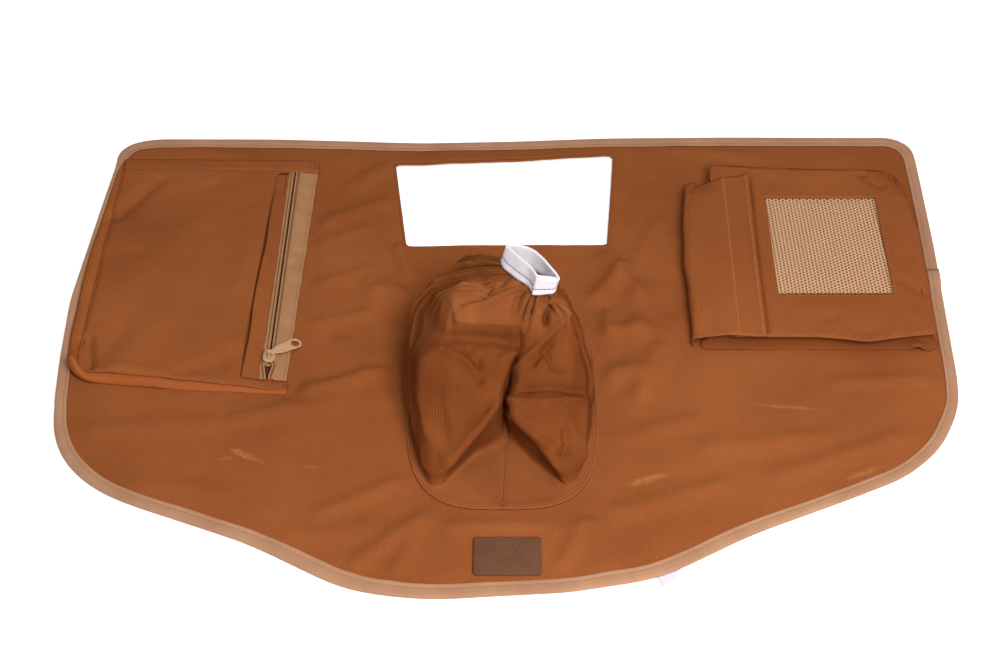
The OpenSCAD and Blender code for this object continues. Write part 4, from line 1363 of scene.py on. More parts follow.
# %% Zip pocket front
ZIP_EDGE = [(-331, 236), (-331, 221), (-329, 139), (-327.5, 64), (-327, 4), (-327.5, -22), (-326, -36),
            (-319, -44.5), (-294, -48), (-246, -54), (-201.5, -56.5), (-166, -58.5)]
ZIP_RIGHT = [(-166, -58.5), (-165.6, -48.3), (-201.9, -47.6), (-200.7, 30), (-198.9, 102), (-197.8, 214)]
ZIP_TOP = [(-197.8, 214), (-196, 218.5), (-162.3, 219.3), (-162.8, 236), (-331, 236)]
ZIP_STITCH = [(-330, 225.0), (-163.5, 221.8)]
ZIP_CREASES = [
    ((-293, 218), (-326, 152), 8, -3.9), ((-280, 222), (-300, 190), 12, 1.5),
    ((-235, 216), (-252, 198), 6, -1.5), ((-322.5, -8), (-317.5, -39), 4.2, -6.0),
    ((-313, -30), (-300, 0), 12, -2.1), ((-246, -46), (-222, -34), 7, -2.1),
    ((-285, -20), (-262, 20), 14, 1.5), ((-320, 95), (-296, 100), 8, -1.4),
    ((-298, 20), (-282, 60), 14, -1.2), ((-240, 30), (-225, 100), 15, -1.0),
    ((-268, 110), (-246, 160), 14, 1.2), ((-212, 60), (-210, 160), 8, 0.9),
    ((-300, -40), (-262, -46), 5, 1.4), ((-222, -44), (-206, -20), 7, -1.2),
]

zip_edge = eased_path(ZIP_EDGE, 3.0, 3)
zip_front_outline = np.vstack([zip_edge, resampled(ZIP_RIGHT, 3.0)[1:], resampled(ZIP_TOP, 3.0)[1:-1]])


def zip_height(points):
    """How high the pocket stands at each place."""
    x, y = points[:, 0], points[:, 1]
    full = mix(10.9, 4.4, smooth_step(95, 219, y))
    low_corner = smooth_step(-250, -200, x) * (1 - smooth_step(-52, 0, y))
    end = smooth_step(-202, -178, x) * (1 - smooth_step(-46, -40, y))
    top_end = smooth_step(-179, -170, x) * smooth_step(206, 219, y)
    return full * (1 - 0.4 * low_corner) * (1 - 0.5 * end) * (1 - 0.3 * top_end)


def zip_front_height(points):
    points = np.asarray(points, float)
    free = smooth_step(222, 190, points[:, 1])
    height = zip_height(points) + creased(points, ZIP_CREASES) * free
    height = height + 0.45 * ripple(points, 26, 8.1) * mix(0.3, 1, free)
    rolled = bell(distance_to(points, zip_front_outline), 0, 1.8)
    seam = bell(distance_to(points, np.array(ZIP_STITCH, float), closed=False), 0, 1.1)
    return np.maximum(height - 0.5 * rolled - 0.45 * seam,
                      mix(2.3, 3.2, smooth_step(-315, -325, points[:, 0])))


zip_plan, zip_faces = filled(zip_front_outline, [], 3.2)
zip_points = np.column_stack([zip_plan, zip_front_height(zip_plan)])
zip_front = cloth("zip_pocket_cloth", zip_points, zip_faces, POCKET_CLOTH, pocket_finish)


def zip_pocket_piece(made):
    """Bakes a piece of the zip pocket into place."""
    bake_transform(made)


zip_pocket_piece(zip_front)
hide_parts("zip_pocket_front")
print("Zip pocket front in square metres:", round(measured(zip_front), 4))

# %% Band along the top of the zip pocket
BAND_TOP = [(-331, 237.2), (-162, 235.7)]
BAND_LOW = [(-331, 222.6), (-162, 219.2)]


def band_grid():
    across = np.linspace(0, 1, 9)[:, None]
    x = np.linspace(-331, -162, 70)[None, :]
    y = mix(np.interp(x, *np.array(BAND_LOW).T), np.interp(x, *np.array(BAND_TOP).T), across)
    x = np.broadcast_to(x, y.shape)
    spots = np.stack([x.ravel(), y.ravel()], axis=1)
    low_edge = (y - np.interp(x, *np.array(BAND_LOW).T)).ravel()
    height = zip_front_height(spots) + 0.75 - 0.25 * bell(low_edge, 0, 1.2)
    height -= 0.3 * bell(low_edge, 2.4, 0.8)
    return np.column_stack([spots, height]).reshape(*y.shape, 3)


band_points = band_grid()
band = sheet_of("zip_band_cloth", band_points, FOLDED_CLOTH, folded_finish)
zip_pocket_piece(band)
print("Band in square metres:", round(measured(band), 5))

# %% Zip pocket gusset
SIDE_SECTION = np.array([
    (0.0, 1.0), (-0.5, 0.93), (-1.8, 0.86), (0.25, 0.82), (0.5, 0.76), (0.82, 0.64), (1.0, 0.46),
    (0.96, 0.28), (0.5, 0.18), (-3.0, 0.12),
])
LOW_SECTION = np.array([
    (0.0, 1.0), (-0.5, 0.89), (-1.8, 0.78), (0.2, 0.68), (0.5, 0.55), (0.88, 0.4), (1.0, 0.3), (0.9, 0.2),
    (0.3, 0.15), (-5.0, 0.12),
])
KNOB_SECTION = np.array([
    (0.0, 1.0), (0.05, 0.95), (0.1, 0.9), (0.22, 1.05), (0.5, 1.75), (0.8, 1.6), (1.0, 1.05), (0.98, 0.5),
    (0.6, 0.2), (-3.0, 0.12),
])
SIDE_WIDTH = [
    (-331, 236, 2.0), (-331, 221, 5), (-329, 147, 10), (-327.5, 87, 12.5), (-327, 20, 12), (-327, -10, 11),
    (-326, -34, 8), (-319, -44, 5.5), (-294, -48, 4.8), (-246, -54, 4.2), (-201.5, -56.5, 3.6),
    (-166, -58.5, 3.2),
]
SIDE_FLOOR = np.array([0, 0, 0, 0, 2.9, 2.9, 2.8, 2.2, 1.6, 1.2])


def along_path_values(path, anchors):
    """A value for each point of a path, read between given places on it."""
    anchors = np.array(anchors, float)
    run = run_along(path)
    nearest = [np.argmin(np.linalg.norm(path - a[:2], axis=1)) for a in anchors]
    return np.interp(run, run[nearest], anchors[:, 2])


def zip_gusset_sections():
    width = along_path_values(zip_edge, SIDE_WIDTH)
    knob = bell(np.linalg.norm(zip_edge - [-325, -36], axis=1), 0, 9)
    top = mix(zip_front_height(zip_edge), zip_height(zip_edge), knob)
    turn = smooth_step(-330, -300, zip_edge[:, 0]) * (zip_edge[:, 1] < 0)
    base = mix(SIDE_SECTION[None], LOW_SECTION[None], turn[:, None, None])
    shape = mix(base, KNOB_SECTION[None], knob[:, None, None])
    out = shape[..., 0]
    reach = np.where(out > 0, out * width[:, None], out * np.minimum(1, width / 6)[:, None])
    step = np.arange(len(zip_edge))
    waver = 1 + 0.12 * np.sin(step * 0.35) + 0.1 * np.sin(step * 0.13 + 1)
    up = shape[..., 1]
    height = np.maximum(up * top[:, None] * mix(1, waver[:, None], (up < 0.7) * 0.7), 1.2)
    height = np.maximum(height, SIDE_FLOOR * (1 - turn[:, None]))
    return np.stack([reach, height], axis=2)


zip_fold = folded_strip(zip_edge, zip_gusset_sections())
# The gusset's paler canvas is painted light.
zip_gusset = sheet_of("zip_gusset_cloth", zip_fold, GUSSET_CLOTH, painted_light_side_finish)
zip_pocket_piece(zip_gusset)
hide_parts("zip_pocket_gusset")
print("Zip pocket gusset in square metres:", round(measured(zip_gusset), 4))

# %% [markdown]
# ## The zip
# The zip lies along the pocket's right edge: two woven tapes, a coil on each, a slider and its puller. The
# pocket's narrow strip folds over the left tape, so only a sliver of it shows, and the right tape lies open
# on the panel. Below the slider the coils part into a small V, made dark by painted shade beneath it.

# %% Strip beside the zip
ZIP_LOW, ZIP_HIGH = -47.0, 216.0
STRIP_LEFT = [(-6.0, 0.35), (-1.2, 0.4), (0.2, 0.42), (0.8, 0.86), (2.6, 0.92)]
STRIP_RIGHT = [(-7.0, 0.66), (-4.0, 0.36), (-1.8, 0.2), (-0.5, 0.14), (0.0, 0.08), (-0.5, 0.02), (-3.0, 0.0)]
SLIT_GAPS = [(115, 26, 1.3), (0, 24, 1.6), (190, 14, 0.5)]


def strip_grid():
    """The strip from under the pocket's edge, up beside the slit and down to its fold on the tape."""
    y = np.linspace(ZIP_LOW, ZIP_HIGH, 90)
    edge = np.interp(y, [-45, 23, 118, 209], [-188.2, -187.4, -186.6, -186.2])
    slit = np.interp(y, [-47, 30, 102, 214], [-201.9, -200.7, -198.9, -197.8])
    gap = sum(width * bell(y, middle, reach) for middle, reach, width in SLIT_GAPS)
    top = np.maximum(zip_height(np.column_stack([np.full(len(y), -200.0), y])) - 0.2, 4.1)
    pucker = 0.35 * np.sin(y / 6.5) + 0.25 * np.sin(y / 2.9 + 1)
    section = [(slit + across + gap * (across > 0), share) for across, share in STRIP_LEFT]
    section += [(edge + across, share) for across, share in STRIP_RIGHT]
    rows = [np.column_stack([x + 0.2 * pucker, y, 3.25 + share * (top - 3.25) + 1.1 * pucker * share])
            for x, share in section]
    return np.array(rows)[:, ::-1]


strip_points = strip_grid()
strip = sheet_of("zip_strip_cloth", strip_points, FOLDED_CLOTH, folded_finish)
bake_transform(strip)
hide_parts("zip_strip")
print("Strip in square metres:", round(measured(strip), 4))

# %% Zip tapes
COIL_TOP, COIL_LOW = 219.0, -47.0
TAPE_TOP = 222.0
V_TOP, V_OPEN, COIL_OPEN = -27.5, 2.4, 1.7
COIL_APART = 1.6
RIGHT_SECTION = [
    (0.0, 2.8), (2.2, 2.5), (2.8, 3.7), (3.5, 4.2), (4.3, 3.8), (5.0, 3.1), (6.4, 2.8), (8.6, 2.4),
    (11.0, 1.95), (13.2, 1.85), (15.0, 2.05), (15.6, 1.75),
]
LEFT_SECTION = [
    (0.0, 2.8), (2.2, 2.5), (2.7, 3.7), (3.4, 4.1), (4.1, 3.7), (4.8, 3.05), (6.2, 3.0), (9.0, 3.0),
    (13.0, 3.0),
]


def v_share(y):
    """How far the tapes have parted: widest under the slider, and closed again at the lower end."""
    return smooth_step(V_TOP, V_TOP - 5, y) * smooth_step(COIL_LOW + 1, V_TOP - 5, y)


def right_tape_grid():
    y = np.linspace(COIL_LOW, TAPE_TOP, 130)
    outer = np.interp(y, [-47, 62, 161, 214], [-167.0, -165.3, -163.4, -162.6])
    pucker = 0.45 * np.sin(y / 3.1) + 0.4 * np.sin(y / 7.5 + 2)
    rows = []
    for across, z in RIGHT_SECTION:
        share = across / RIGHT_SECTION[-1][0]
        x = mix(-181.2, outer, share) + V_OPEN * v_share(y) * (1 - share)
        rows.append(np.column_stack([x, y, z + pucker * share + 0.4 * v_share(y) * (1 - share)]))
    return np.array(rows)[::-1]


def left_tape_grid():
    y = np.linspace(COIL_LOW, TAPE_TOP, 130)
    rows = []
    for across, z in LEFT_SECTION:
        near = 1 - across / 13
        x = -182.6 - across - V_OPEN * v_share(y) * near
        slanted = mix(COIL_LOW, TAPE_TOP - 0.7 * across, (y - COIL_LOW) / (TAPE_TOP - COIL_LOW))
        rows.append(np.column_stack([x, slanted, z + 1.2 * v_share(y) * near ** 2]))
    return np.array(rows)


right_points = right_tape_grid()
right_tape = sheet_of("zip_tape_right_cloth", right_points, TAPE_CLOTH, zip_tape_finish, turned=True)
left_points = left_tape_grid()
left_tape = sheet_of("zip_tape_left_cloth", left_points, TAPE_CLOTH, zip_tape_finish, turned=True)
for tape_piece, node in ((right_tape, "zip_tape_right"), (left_tape, "zip_tape_left")):
    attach(tape_piece, "panel")
    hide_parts(node)
print("Tapes in square metres:", round(measured(right_tape), 4), round(measured(left_tape), 4))

# %% Coils
COIL_PITCH = 1.45
ZIP_MIDDLE = -181.9


def coil_path(side):
    """The middle of one coil, which parts from the other below the slider; side is -1 or 1."""
    y = np.linspace(COIL_LOW, COIL_TOP, 200)
    x = ZIP_MIDDLE + side * (COIL_APART + COIL_OPEN * v_share(y))
    z = 4.15 + (1.1 if side < 0 else 0.4) * v_share(y)
    return np.column_stack([x, y, z])


for side, node in ((-1, "zip_coil_left"), (1, "zip_coil_right")):
    coil = sew(node + "_teeth", [(coil_path(side), UP, False)], coil_finish, COIL_PITCH, (1.3, 1.8, 1.9))
    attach(coil, "panel")
    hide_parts(node)
print("Teeth on each coil:", int((COIL_TOP - COIL_LOW) / COIL_PITCH))

# %% Painted shade sheet and lower tab
TAB_SECTION = [
    (-52.0, -0.95, 0), (-47.2, -0.8, 0), (-46.5, -0.35, 0), (-47.0, 0.0, 0), (-50.0, 0.1, 0),
    (-55.0, -0.05, 0), (-56.4, -0.6, 0), (-57.2, -1.3, 0), (-56.6, 1.3, 1), (-53.0, 1.2, 1),
]


def tab_grid():
    x = np.linspace(-200, -165.6, 34)
    top = np.interp(x, [-204, -196, -186, -172, -165], [4.9, 4.4, 3.5, 2.4, 2.0])
    turned = smooth_step(-168.5, -164.8, x)
    rows = []
    for y, z, is_height in TAB_SECTION:
        height = np.maximum(np.where(is_height, z, top + z), 1.2) - 0.5 * turned * (1 - is_height)
        drift = np.interp(x, [-204, -165], [0.2, -0.6])
        rows.append(np.column_stack([x, mix(np.full(len(x), y), -52.5, 0.14 * turned) + drift, height]))
    return np.array(rows)[::-1]


tab_points = tab_grid()
tab = sheet_of("zip_tab_cloth", tab_points, FOLDED_CLOTH, folded_finish)
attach(tab, "panel")
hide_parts("zip_end_tabs")
# Painted shade: a dark sheet under the zip's middle stands in for the shade inside the pocket, seen between
# the coils and in the V.
gap_shade_plan = np.array([[(x, y, 1.35) for x in (-187.5, -184.5, -181.5, -178.5, -176.0)]
                        for y in np.linspace(-50, 214, 40)])
gap_shade_sheet = sheet_of("zip_gap_painted_shade_sheet", gap_shade_plan, 0.25, zip_gap_shade_finish, mapped=False)
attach(gap_shade_sheet, "panel")
print("Lower tab in square metres:", round(measured(tab), 5))

# %% [markdown]
# ## Slider and puller
# Both are small castings, painted tan to match the tape. The slider is two plates joined at their lower end,
# with a bow on top. The puller is a stamped tab with a round hole, and its eye turns on the bow. They are
# built from plates with eased edges and from bent wire, at the places where the frame's joints turn them.


# %% Helpers for small hard parts
def plate(outline, holes, step, thickness, ease):
    """A flat closed plate round z = 0 with eased edges."""
    flat, faces = filled(outline, holes, step)
    edge = np.min([distance_to(flat, loop) for loop in [outline] + holes], axis=0)
    half = thickness / 2 * (1 - 0.6 * bell(edge, 0, ease))
    count = len(flat)
    used = {(f[k], f[(k + 1) % 3]) for f in faces for k in range(3)}
    walls = [(b, a, a + count, b + count) for a, b in sorted(used) if (b, a) not in used]
    points = np.vstack([np.column_stack([flat, half]), np.column_stack([flat, -half])])
    return points, list(faces) + [tuple(i + count for i in reversed(f)) for f in faces] + walls


def wire(path, radius, sides=10, closed=False):
    """A round wire along a path, with a cap at each end."""
    path = np.asarray(path, float)
    along = np.gradient(path, axis=0) if not closed else np.roll(path, -1, axis=0) - np.roll(path, 1, axis=0)
    along /= np.linalg.norm(along, axis=1, keepdims=True)
    side = np.cross(along, np.tile([0.31, 0.11, 0.94], (len(path), 1)))
    for k in range(1, len(path)):
        side[k] = side[k - 1] - along[k] * (side[k - 1] @ along[k])
    side /= np.linalg.norm(side, axis=1, keepdims=True)
    other = np.cross(along, side)
    angle = np.linspace(0, 2 * math.pi, sides, endpoint=False)
    ring = np.cos(angle)[None, :, None] * side[:, None] + np.sin(angle)[None, :, None] * other[:, None]
    points = (path[:, None] + radius * ring).reshape(-1, 3)
    count = len(path) if closed else len(path) - 1
    faces = [(k * sides + j, k * sides + (j + 1) % sides, (k + 1) % len(path) * sides + (j + 1) % sides,
              (k + 1) % len(path) * sides + j) for k in range(count) for j in range(sides)]
    if not closed:
        faces += [tuple(reversed(range(sides))), tuple(range(len(points) - sides, len(points)))]
    return points, faces


def assembled(name, shapes, material):
    """One piece from several closed shapes."""
    points, faces = [], []
    for shape_points, shape_faces in shapes:
        start = sum(len(p) for p in points)
        points.append(shape_points)
        faces += [tuple(i + start for i in f) for f in shape_faces]
    return piece(name, np.vstack(points), faces, material)


# %% Slider
SLIDER_PLACE = np.array([ZIP_MIDDLE, -23.0, 0.0])
PIN_HEIGHT = 8.6
SLIDER_OUTLINE = [(5.2, 1.0, 3.2), (3.4, 7.5, 2.4), (-3.4, 7.5, 2.4), (-5.2, 1.0, 3.2), (-4.6, -7.2, 4.2),
                  (4.6, -7.2, 4.2)]
BOW = [
    (0, -4.7, 5.6), (0, -4.6, 7.2), (0, -4.0, 8.2), (0, -2.8, PIN_HEIGHT), (0, 0, PIN_HEIGHT),
    (0, 2.6, PIN_HEIGHT), (0, 3.8, 8.2), (0, 4.4, 7.2), (0, 4.5, 5.6),
]


def slider_shapes():
    outline_here = resampled(rounded(SLIDER_OUTLINE, 0.4), 0.5, closed=True)
    upper, faces = plate(outline_here, [], 0.6, 1.0, 0.35)
    crown = 0.9 * (1 - (np.abs(upper[:, 0]) / 5.2) ** 3) * (1 - (np.abs(upper[:, 1]) / 8) ** 4)
    upper = upper + np.column_stack([np.zeros((len(upper), 2)), 5.65 + crown])
    lower, lower_faces = plate(outline_here, [], 0.9, 0.8, 0.3)
    lower = lower + [0, 0, 1.85]
    post = wire([(0, -4.0, 1.9), (0, -4.0, 3.6), (0, -4.0, 5.6)], 1.0)
    bow = wire(resampled(eased_path(BOW, 0.5, 4), 0.6), 0.75)
    return [(upper, faces), (lower, lower_faces), post, bow]


slider = assembled("zip_slider_metal", [(p + SLIDER_PLACE, f) for p, f in slider_shapes()], metal_finish)
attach(slider, "zip_slider")
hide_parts("zip_slider")
print("Slider faces:", len(slider.data.polygons))

# %% Puller
PULLER_SKEW, PULLER_HANG = math.radians(43), math.radians(16.6)
PULLER_OUTLINE = [(1.2, -2.6, 0.4), (5.5, -2.8, 3), (10.0, -4.4, 3), (31.5, -5.4, 5.3), (31.5, 5.4, 5.3),
                  (10.0, 4.4, 3), (5.5, 2.8, 3), (1.2, 2.6, 0.4)]
PULLER_HOLE, PULLER_HOLE_RADIUS = (25.8, 0.0), 3.3


def puller_shapes():
    outline_here = resampled(rounded(PULLER_OUTLINE, 0.5), 0.6, closed=True)
    turn = np.linspace(0, 2 * math.pi, 28, endpoint=False)
    hole = np.array(PULLER_HOLE) + PULLER_HOLE_RADIUS * np.stack([np.cos(turn), np.sin(turn)], axis=1)
    tab_part, faces = plate(outline_here, [hole], 0.8, 1.1, 0.4)
    rim = bell(np.abs(distance_to(tab_part[:, :2], outline_here) - 0.9), 0, 0.5)
    tab_part[:, 2] += np.sign(tab_part[:, 2]) * 0.12 * rim
    c, s = math.cos(PULLER_SKEW), math.sin(PULLER_SKEW)
    x, y, z = tab_part.T
    turned = np.column_stack([x * c - y * s, x * s + y * c, z])
    eye = [wire(np.column_stack([1.55 * np.cos(turn), np.full(28, y), 1.55 * np.sin(turn)]), 0.6, 8, True)
           for y in (-0.7, 0.3, 1.3)]
    return [(turned, faces)] + eye


def hung(points):
    c, s = math.cos(PULLER_HANG), math.sin(PULLER_HANG)
    x, y, z = points.T
    return np.column_stack([x * c + z * s, y, -x * s + z * c]) + SLIDER_PLACE + [0, 0, PIN_HEIGHT]


puller = assembled("zip_puller_tab", [(hung(p), f) for p, f in puller_shapes()], metal_finish)
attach(puller, "zip_puller")
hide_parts("zip_puller")
print("Puller faces:", len(puller.data.polygons))

# %% Stitching on the zip pocket
tape_row = np.column_stack([right_points[1][:, 0] - 1.4, right_points[1][:, 1], right_points[2][:, 2] + 0.15])
tape_seam = sew("zip_tape_stitches", [(tape_row, UP, False)], tan_thread, 2.6, (2.2, 0.5, 0.45))
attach(tape_seam, "panel")
top_plan = resampled(ZIP_STITCH, 3.0)
edge_plan = resampled([(-329, 234.0), (-164.5, 234.0)], 3.0)
tack_plan = np.array([(-166.2 + 2.6 * (k % 2), 224.5 + 0.8 * k) for k in range(14)])
low_plan = eased_path([(-312, -40.5), (-292, -44.0), (-246, -50.0), (-204, -52.5), (-168, -54.5)], 3.0)
zip_rows = [np.column_stack([p, zip_front_height(p) + rise])
            for p, rise in ((top_plan, 0.75), (edge_plan, 0.85), (low_plan, 0.12))]
zip_seam = sew("zip_pocket_stitches", [(row, UP, False) for row in zip_rows], rust_thread)
zip_pocket_piece(zip_seam)
tack = np.column_stack([tack_plan, zip_front_height(tack_plan) + 0.9])
end_plan = resampled([(-168.2, -49.5), (-168.4, -57.0)], 1.5)
end_tack = np.column_stack([end_plan, zip_front_height(end_plan) + 0.15])
tack_seam = sew("zip_tack_stitches", [(tack, UP, False), (end_tack, UP, False)], red_thread, 2.4,
                (2.2, 0.6, 0.5))
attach(tack_seam, "panel")
print("Stitched the zip pocket")

# %% [markdown]
# ## The net pocket
# The right pocket has a canvas front with a window of knitted net, and a gusset like the other pocket's. Its
# flap is sewn to a riser that bulges out on the left, folds over the pocket's open side and closes with hook
# and loop tape. The front sags a little along its lower edge, and the gusset's outer fold shows below it.

# %% Net pocket front
NET_FRONT_CORNERS = [
    (174, 216.5), (172.5, 100), (172.5, -9), (200, -9.4), (240, -9.6), (262, -12.2), (279, -15.2),
    (294, -11.8), (318, -7.4), (331.5, -6.4), (333, 0), (336.5, 60), (339.5, 121), (338.6, 160), (335.5, 200),
    (333, 208.5), (306, 210.5), (240, 213),
]
NET_OPENING = [(309.5, 168.6, 1), (217.6, 168.6, 1), (214.9, 42.2, 1), (305.6, 42.6, 1)]
NET_CREASES = [
    ((304, 203), (318, 186), 4, -3.3), ((322, 196), (328, 170), 5, 1.8), ((316, 60), (331, 44), 5, -2.0),
    ((250, 12), (256, 16), 5, -1.7), ((224, 190), (300, 186), 12, -1.0), ((208, 150), (211, 40), 6, -1.2),
    ((322, 130), (326, 90), 7, -1.2), ((270, -4), (286, -3), 7, -1.4), ((230, 24), (290, 20), 10, 0.8),
    ((214, 206), (228, 194), 6, -1.2), ((318, 20), (326, 0), 5, 1.4)]
net_front_outline = resampled(NET_FRONT_CORNERS, 3.0, closed=True)
for _ in range(2):
    before, after = np.roll(net_front_outline, 1, 0), np.roll(net_front_outline, -1, 0)
    net_front_outline = (before + 2 * net_front_outline + after) / 4
net_opening = resampled(rounded(NET_OPENING, 0.5), 2.5, closed=True)
NET_STITCH = 2.6
FLAP_FREE = [(-12.6, 199.7), (87, 202.3), (200, 206.2)]


def flap_free(y):
    """Where the flap's free edge runs."""
    return np.interp(y, *np.array(FLAP_FREE).T)


def flap_groove(points):
    """A sharp tuck in the pocket along the flap's free edge."""
    off = points[:, 0] - flap_free(points[:, 1])
    ends = smooth_step(-7, -2, points[:, 1]) * (1 - smooth_step(198, 206, points[:, 1]))
    return -3.6 * ends * smooth_step(-1.0, 0.2, off) * (1 - smooth_step(1.1, 2.6, off))


def net_front_height(points):
    points = np.asarray(points, float)
    x, y = points[:, 0], points[:, 1]
    under_flap = 1 - smooth_step(203, 212, x)
    loose = creased(points, NET_CREASES) + 0.4 * ripple(points, 24, 2.4)
    corner = -4.5 * smooth_step(318, 338, x) * smooth_step(165, 205, y) - 1.2 * smooth_step(195, 215, y)
    height = 14.0 + (loose + corner) * (1 - under_flap) - 0.6 * smooth_step(310, 338, x)
    rolled = bell(distance_to(points, net_front_outline), 0, 1.8)
    around = distance_to(points, net_opening)
    turned = 0.25 * bell(around, 0, 1.5) - 0.3 * bell(around, NET_STITCH, 0.9)
    return height - 0.4 * rolled + turned * (1 - under_flap) + flap_groove(points)


groove_rows = np.arange(-5.0, 206.0, 3.0)
groove_lines = [np.column_stack([flap_free(groove_rows) + off, groove_rows]) for off in (-1.0, 0.2, 1.1, 2.6)]
net_plan, net_faces = filled(net_front_outline, [net_opening], 3.0, groove_lines)
net_points = np.column_stack([net_plan, net_front_height(net_plan)])
net_front = cloth("net_pocket_cloth", net_points, net_faces, POCKET_CLOTH, pocket_finish)


def net_pocket_piece(made):
    """Bakes a piece of the net pocket into place."""
    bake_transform(made)


net_pocket_piece(net_front)
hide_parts("mesh_pocket_front")
print("Net pocket front in square metres:", round(measured(net_front), 4))

# %% Net pocket gusset
NET_GUSSET_CORNERS = [(335, 204, 8), (173, 208, 4), (154, 150, 8), (152.5, -7.5, 3), (331, -8.5, 6)]
NET_GUSSET_SECTION = np.array([(-5.0, 12.2), (-6.0, 11.0), (-8.0, 9.4), (-8.2, 7.8), (-6.0, 6.0), (-2.0, 4.9),
                               (2.4, 4.3), (4.0, 3.3), (4.4, 2.5), (3.0, 1.7), (-3.0, 1.2)])
CRUMPLE = (318.0, -9.0)

net_gusset_path = resampled(rounded(NET_GUSSET_CORNERS, 1.0), 3.0, closed=True)


def net_gusset_points():
    """The folded strip round the pocket, crumpled where it turns the lower right corner."""
    side = -inward(net_gusset_path)
    low_edge = 1 - smooth_step(-8, 2, net_gusset_path[:, 1])
    run = np.arange(len(net_gusset_path)) * 3.0
    crumple = bell(np.linalg.norm(net_gusset_path - CRUMPLE, axis=1), 0, 11)
    rows = []
    for out, z in NET_GUSSET_SECTION:
        outer = smooth_step(-6, 2, out)
        reach = out * mix(0.35, 1, low_edge) - 0.7 * (1 - low_edge)
        wave = 0.35 * np.sin(run / 9) + 0.3 * np.sin(run / 4.1 + 1)
        lift = crumple * outer * (2.6 + 2.4 * np.sin(run / 3.2)) + wave * outer * 0.7
        rows.append(np.column_stack([net_gusset_path + side * (reach + crumple * outer * 1.5)[:, None],
                                     np.clip(z + lift, 1.15, 12.4)]))
    return np.array(rows).transpose(1, 0, 2)


net_fold = net_gusset_points()
net_fold = np.concatenate([net_fold, net_fold[:1]])
# Painted shade: the net pocket's gusset takes a darker copy of the canvas tones, standing in for the shade
# under the pocket's front.
painted_shade_gusset_finish = canvas_finish("painted_shade_canvas", rgb(102, 52, 24), rgb(130, 71, 36), "UV")
net_gusset = sheet_of("net_gusset_cloth", net_fold, GUSSET_CLOTH, painted_shade_gusset_finish)
net_pocket_piece(net_gusset)
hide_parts("mesh_pocket_gusset")
print("Net pocket gusset in square metres:", round(measured(net_gusset), 4))

# %% [markdown]
# ## The net
# The net is knitted: upright threads zigzag from side to side and touch their neighbours at every turn,
# which leaves small staggered holes. A tree builds one zigzag thread, repeats it side by side with every
# second one mirrored, and gives the threads their thickness. It is a double net, so a plain close-knit back
# lies under it.


# %% Net tree
def net_tree():
    tree, inputs, end = new_tree("pocket_net", [
        ("Width", "NodeSocketFloat"), ("Height", "NodeSocketFloat"), ("Pitch", "NodeSocketFloat"),
        ("Row", "NodeSocketFloat"), ("Swing", "NodeSocketFloat"), ("Radius", "NodeSocketFloat"),
        ("Thread", "NodeSocketMaterial")])
    top = add(tree, "ShaderNodeCombineXYZ", {"Y": inputs["Height"]}).outputs[0]
    line = add(tree, "GeometryNodeCurvePrimitiveLine", {"End": top}).outputs[0]
    spaced = add(tree, "GeometryNodeResampleCurve", {"Curve": line, "Length": inputs["Row"]},
                 mode="LENGTH").outputs[0]
    index = add(tree, "GeometryNodeInputIndex").outputs[0]
    odd = math_node(tree, "MODULO", index, 2.0)
    swing = math_node(tree, "MULTIPLY", math_node(tree, "SUBTRACT", odd, 0.5), inputs["Swing"])
    offset = add(tree, "ShaderNodeCombineXYZ", {"X": swing}).outputs[0]
    zigzag = add(tree, "GeometryNodeSetPosition", {"Geometry": spaced, "Offset": offset}).outputs[0]
    count = math_node(tree, "DIVIDE", inputs["Width"], inputs["Pitch"])
    step = add(tree, "ShaderNodeCombineXYZ", {"X": inputs["Pitch"]}).outputs[0]
    places = add(tree, "GeometryNodeMeshLine", {"Count": count, "Offset": step}).outputs[0]
    mirrored = math_node(tree, "SUBTRACT", 1.0, math_node(tree, "MULTIPLY", odd, 2.0))
    scale = add(tree, "ShaderNodeCombineXYZ", {"X": mirrored, "Y": 1.0, "Z": 1.0}).outputs[0]
    threads = add(tree, "GeometryNodeInstanceOnPoints",
                  {"Points": places, "Instance": zigzag, "Scale": scale})
    loose = add(tree, "GeometryNodeRealizeInstances", {0: threads.outputs[0]}).outputs[0]
    ring = add(tree, "GeometryNodeCurvePrimitiveCircle",
               {"Resolution": 4, "Radius": inputs["Radius"]}).outputs[0]
    tubes = add(tree, "GeometryNodeCurveToMesh",
                {"Curve": loose, "Profile Curve": ring, "Fill Caps": True}).outputs[0]
    close_tree(tree, tubes, inputs["Thread"], end)
    return tree


# %% Net
NET_LOW, NET_HIGH = np.array([207.5, 35.5]), np.array([315.5, 175.0])
NET_PITCH, NET_ROW, NET_SWING, NET_RADIUS = 2.9, 1.75, 1.9, 1.02
NET_HEIGHT = 12.6
NET_SPAN = (209.0, 315.0)


def net_height(places):
    """How high the net lies, always below the pocket's front."""
    return np.minimum(NET_HEIGHT + 0.35 * ripple(places, 20, 6.0), net_front_height(places) - 1.5)


def net_made():
    width, height = NET_HIGH - NET_LOW
    values = {"Width": width * MM, "Height": height * MM, "Pitch": NET_PITCH * MM, "Row": NET_ROW * MM,
              "Swing": NET_SWING * MM, "Radius": NET_RADIUS * MM, "Thread": net_finish}
    made = run_tree("pocket_net_threads", paths_object("net_seed", [([(0, 0, 0), (1, 0, 0)], UP, False)]),
                    net_tree(), values)
    points = np.zeros(len(made.data.vertices) * 3)
    made.data.vertices.foreach_get("co", points)
    points = points.reshape(-1, 3) / MM
    plan_here = points[:, :2] + NET_LOW
    plan_here[:, 0] = np.clip(plan_here[:, 0], *NET_SPAN)
    moved = np.column_stack([plan_here, points[:, 2] * 0.5 + net_height(plan_here)])
    made.data.vertices.foreach_set("co", (moved * MM).ravel())
    made.data.update()
    return made


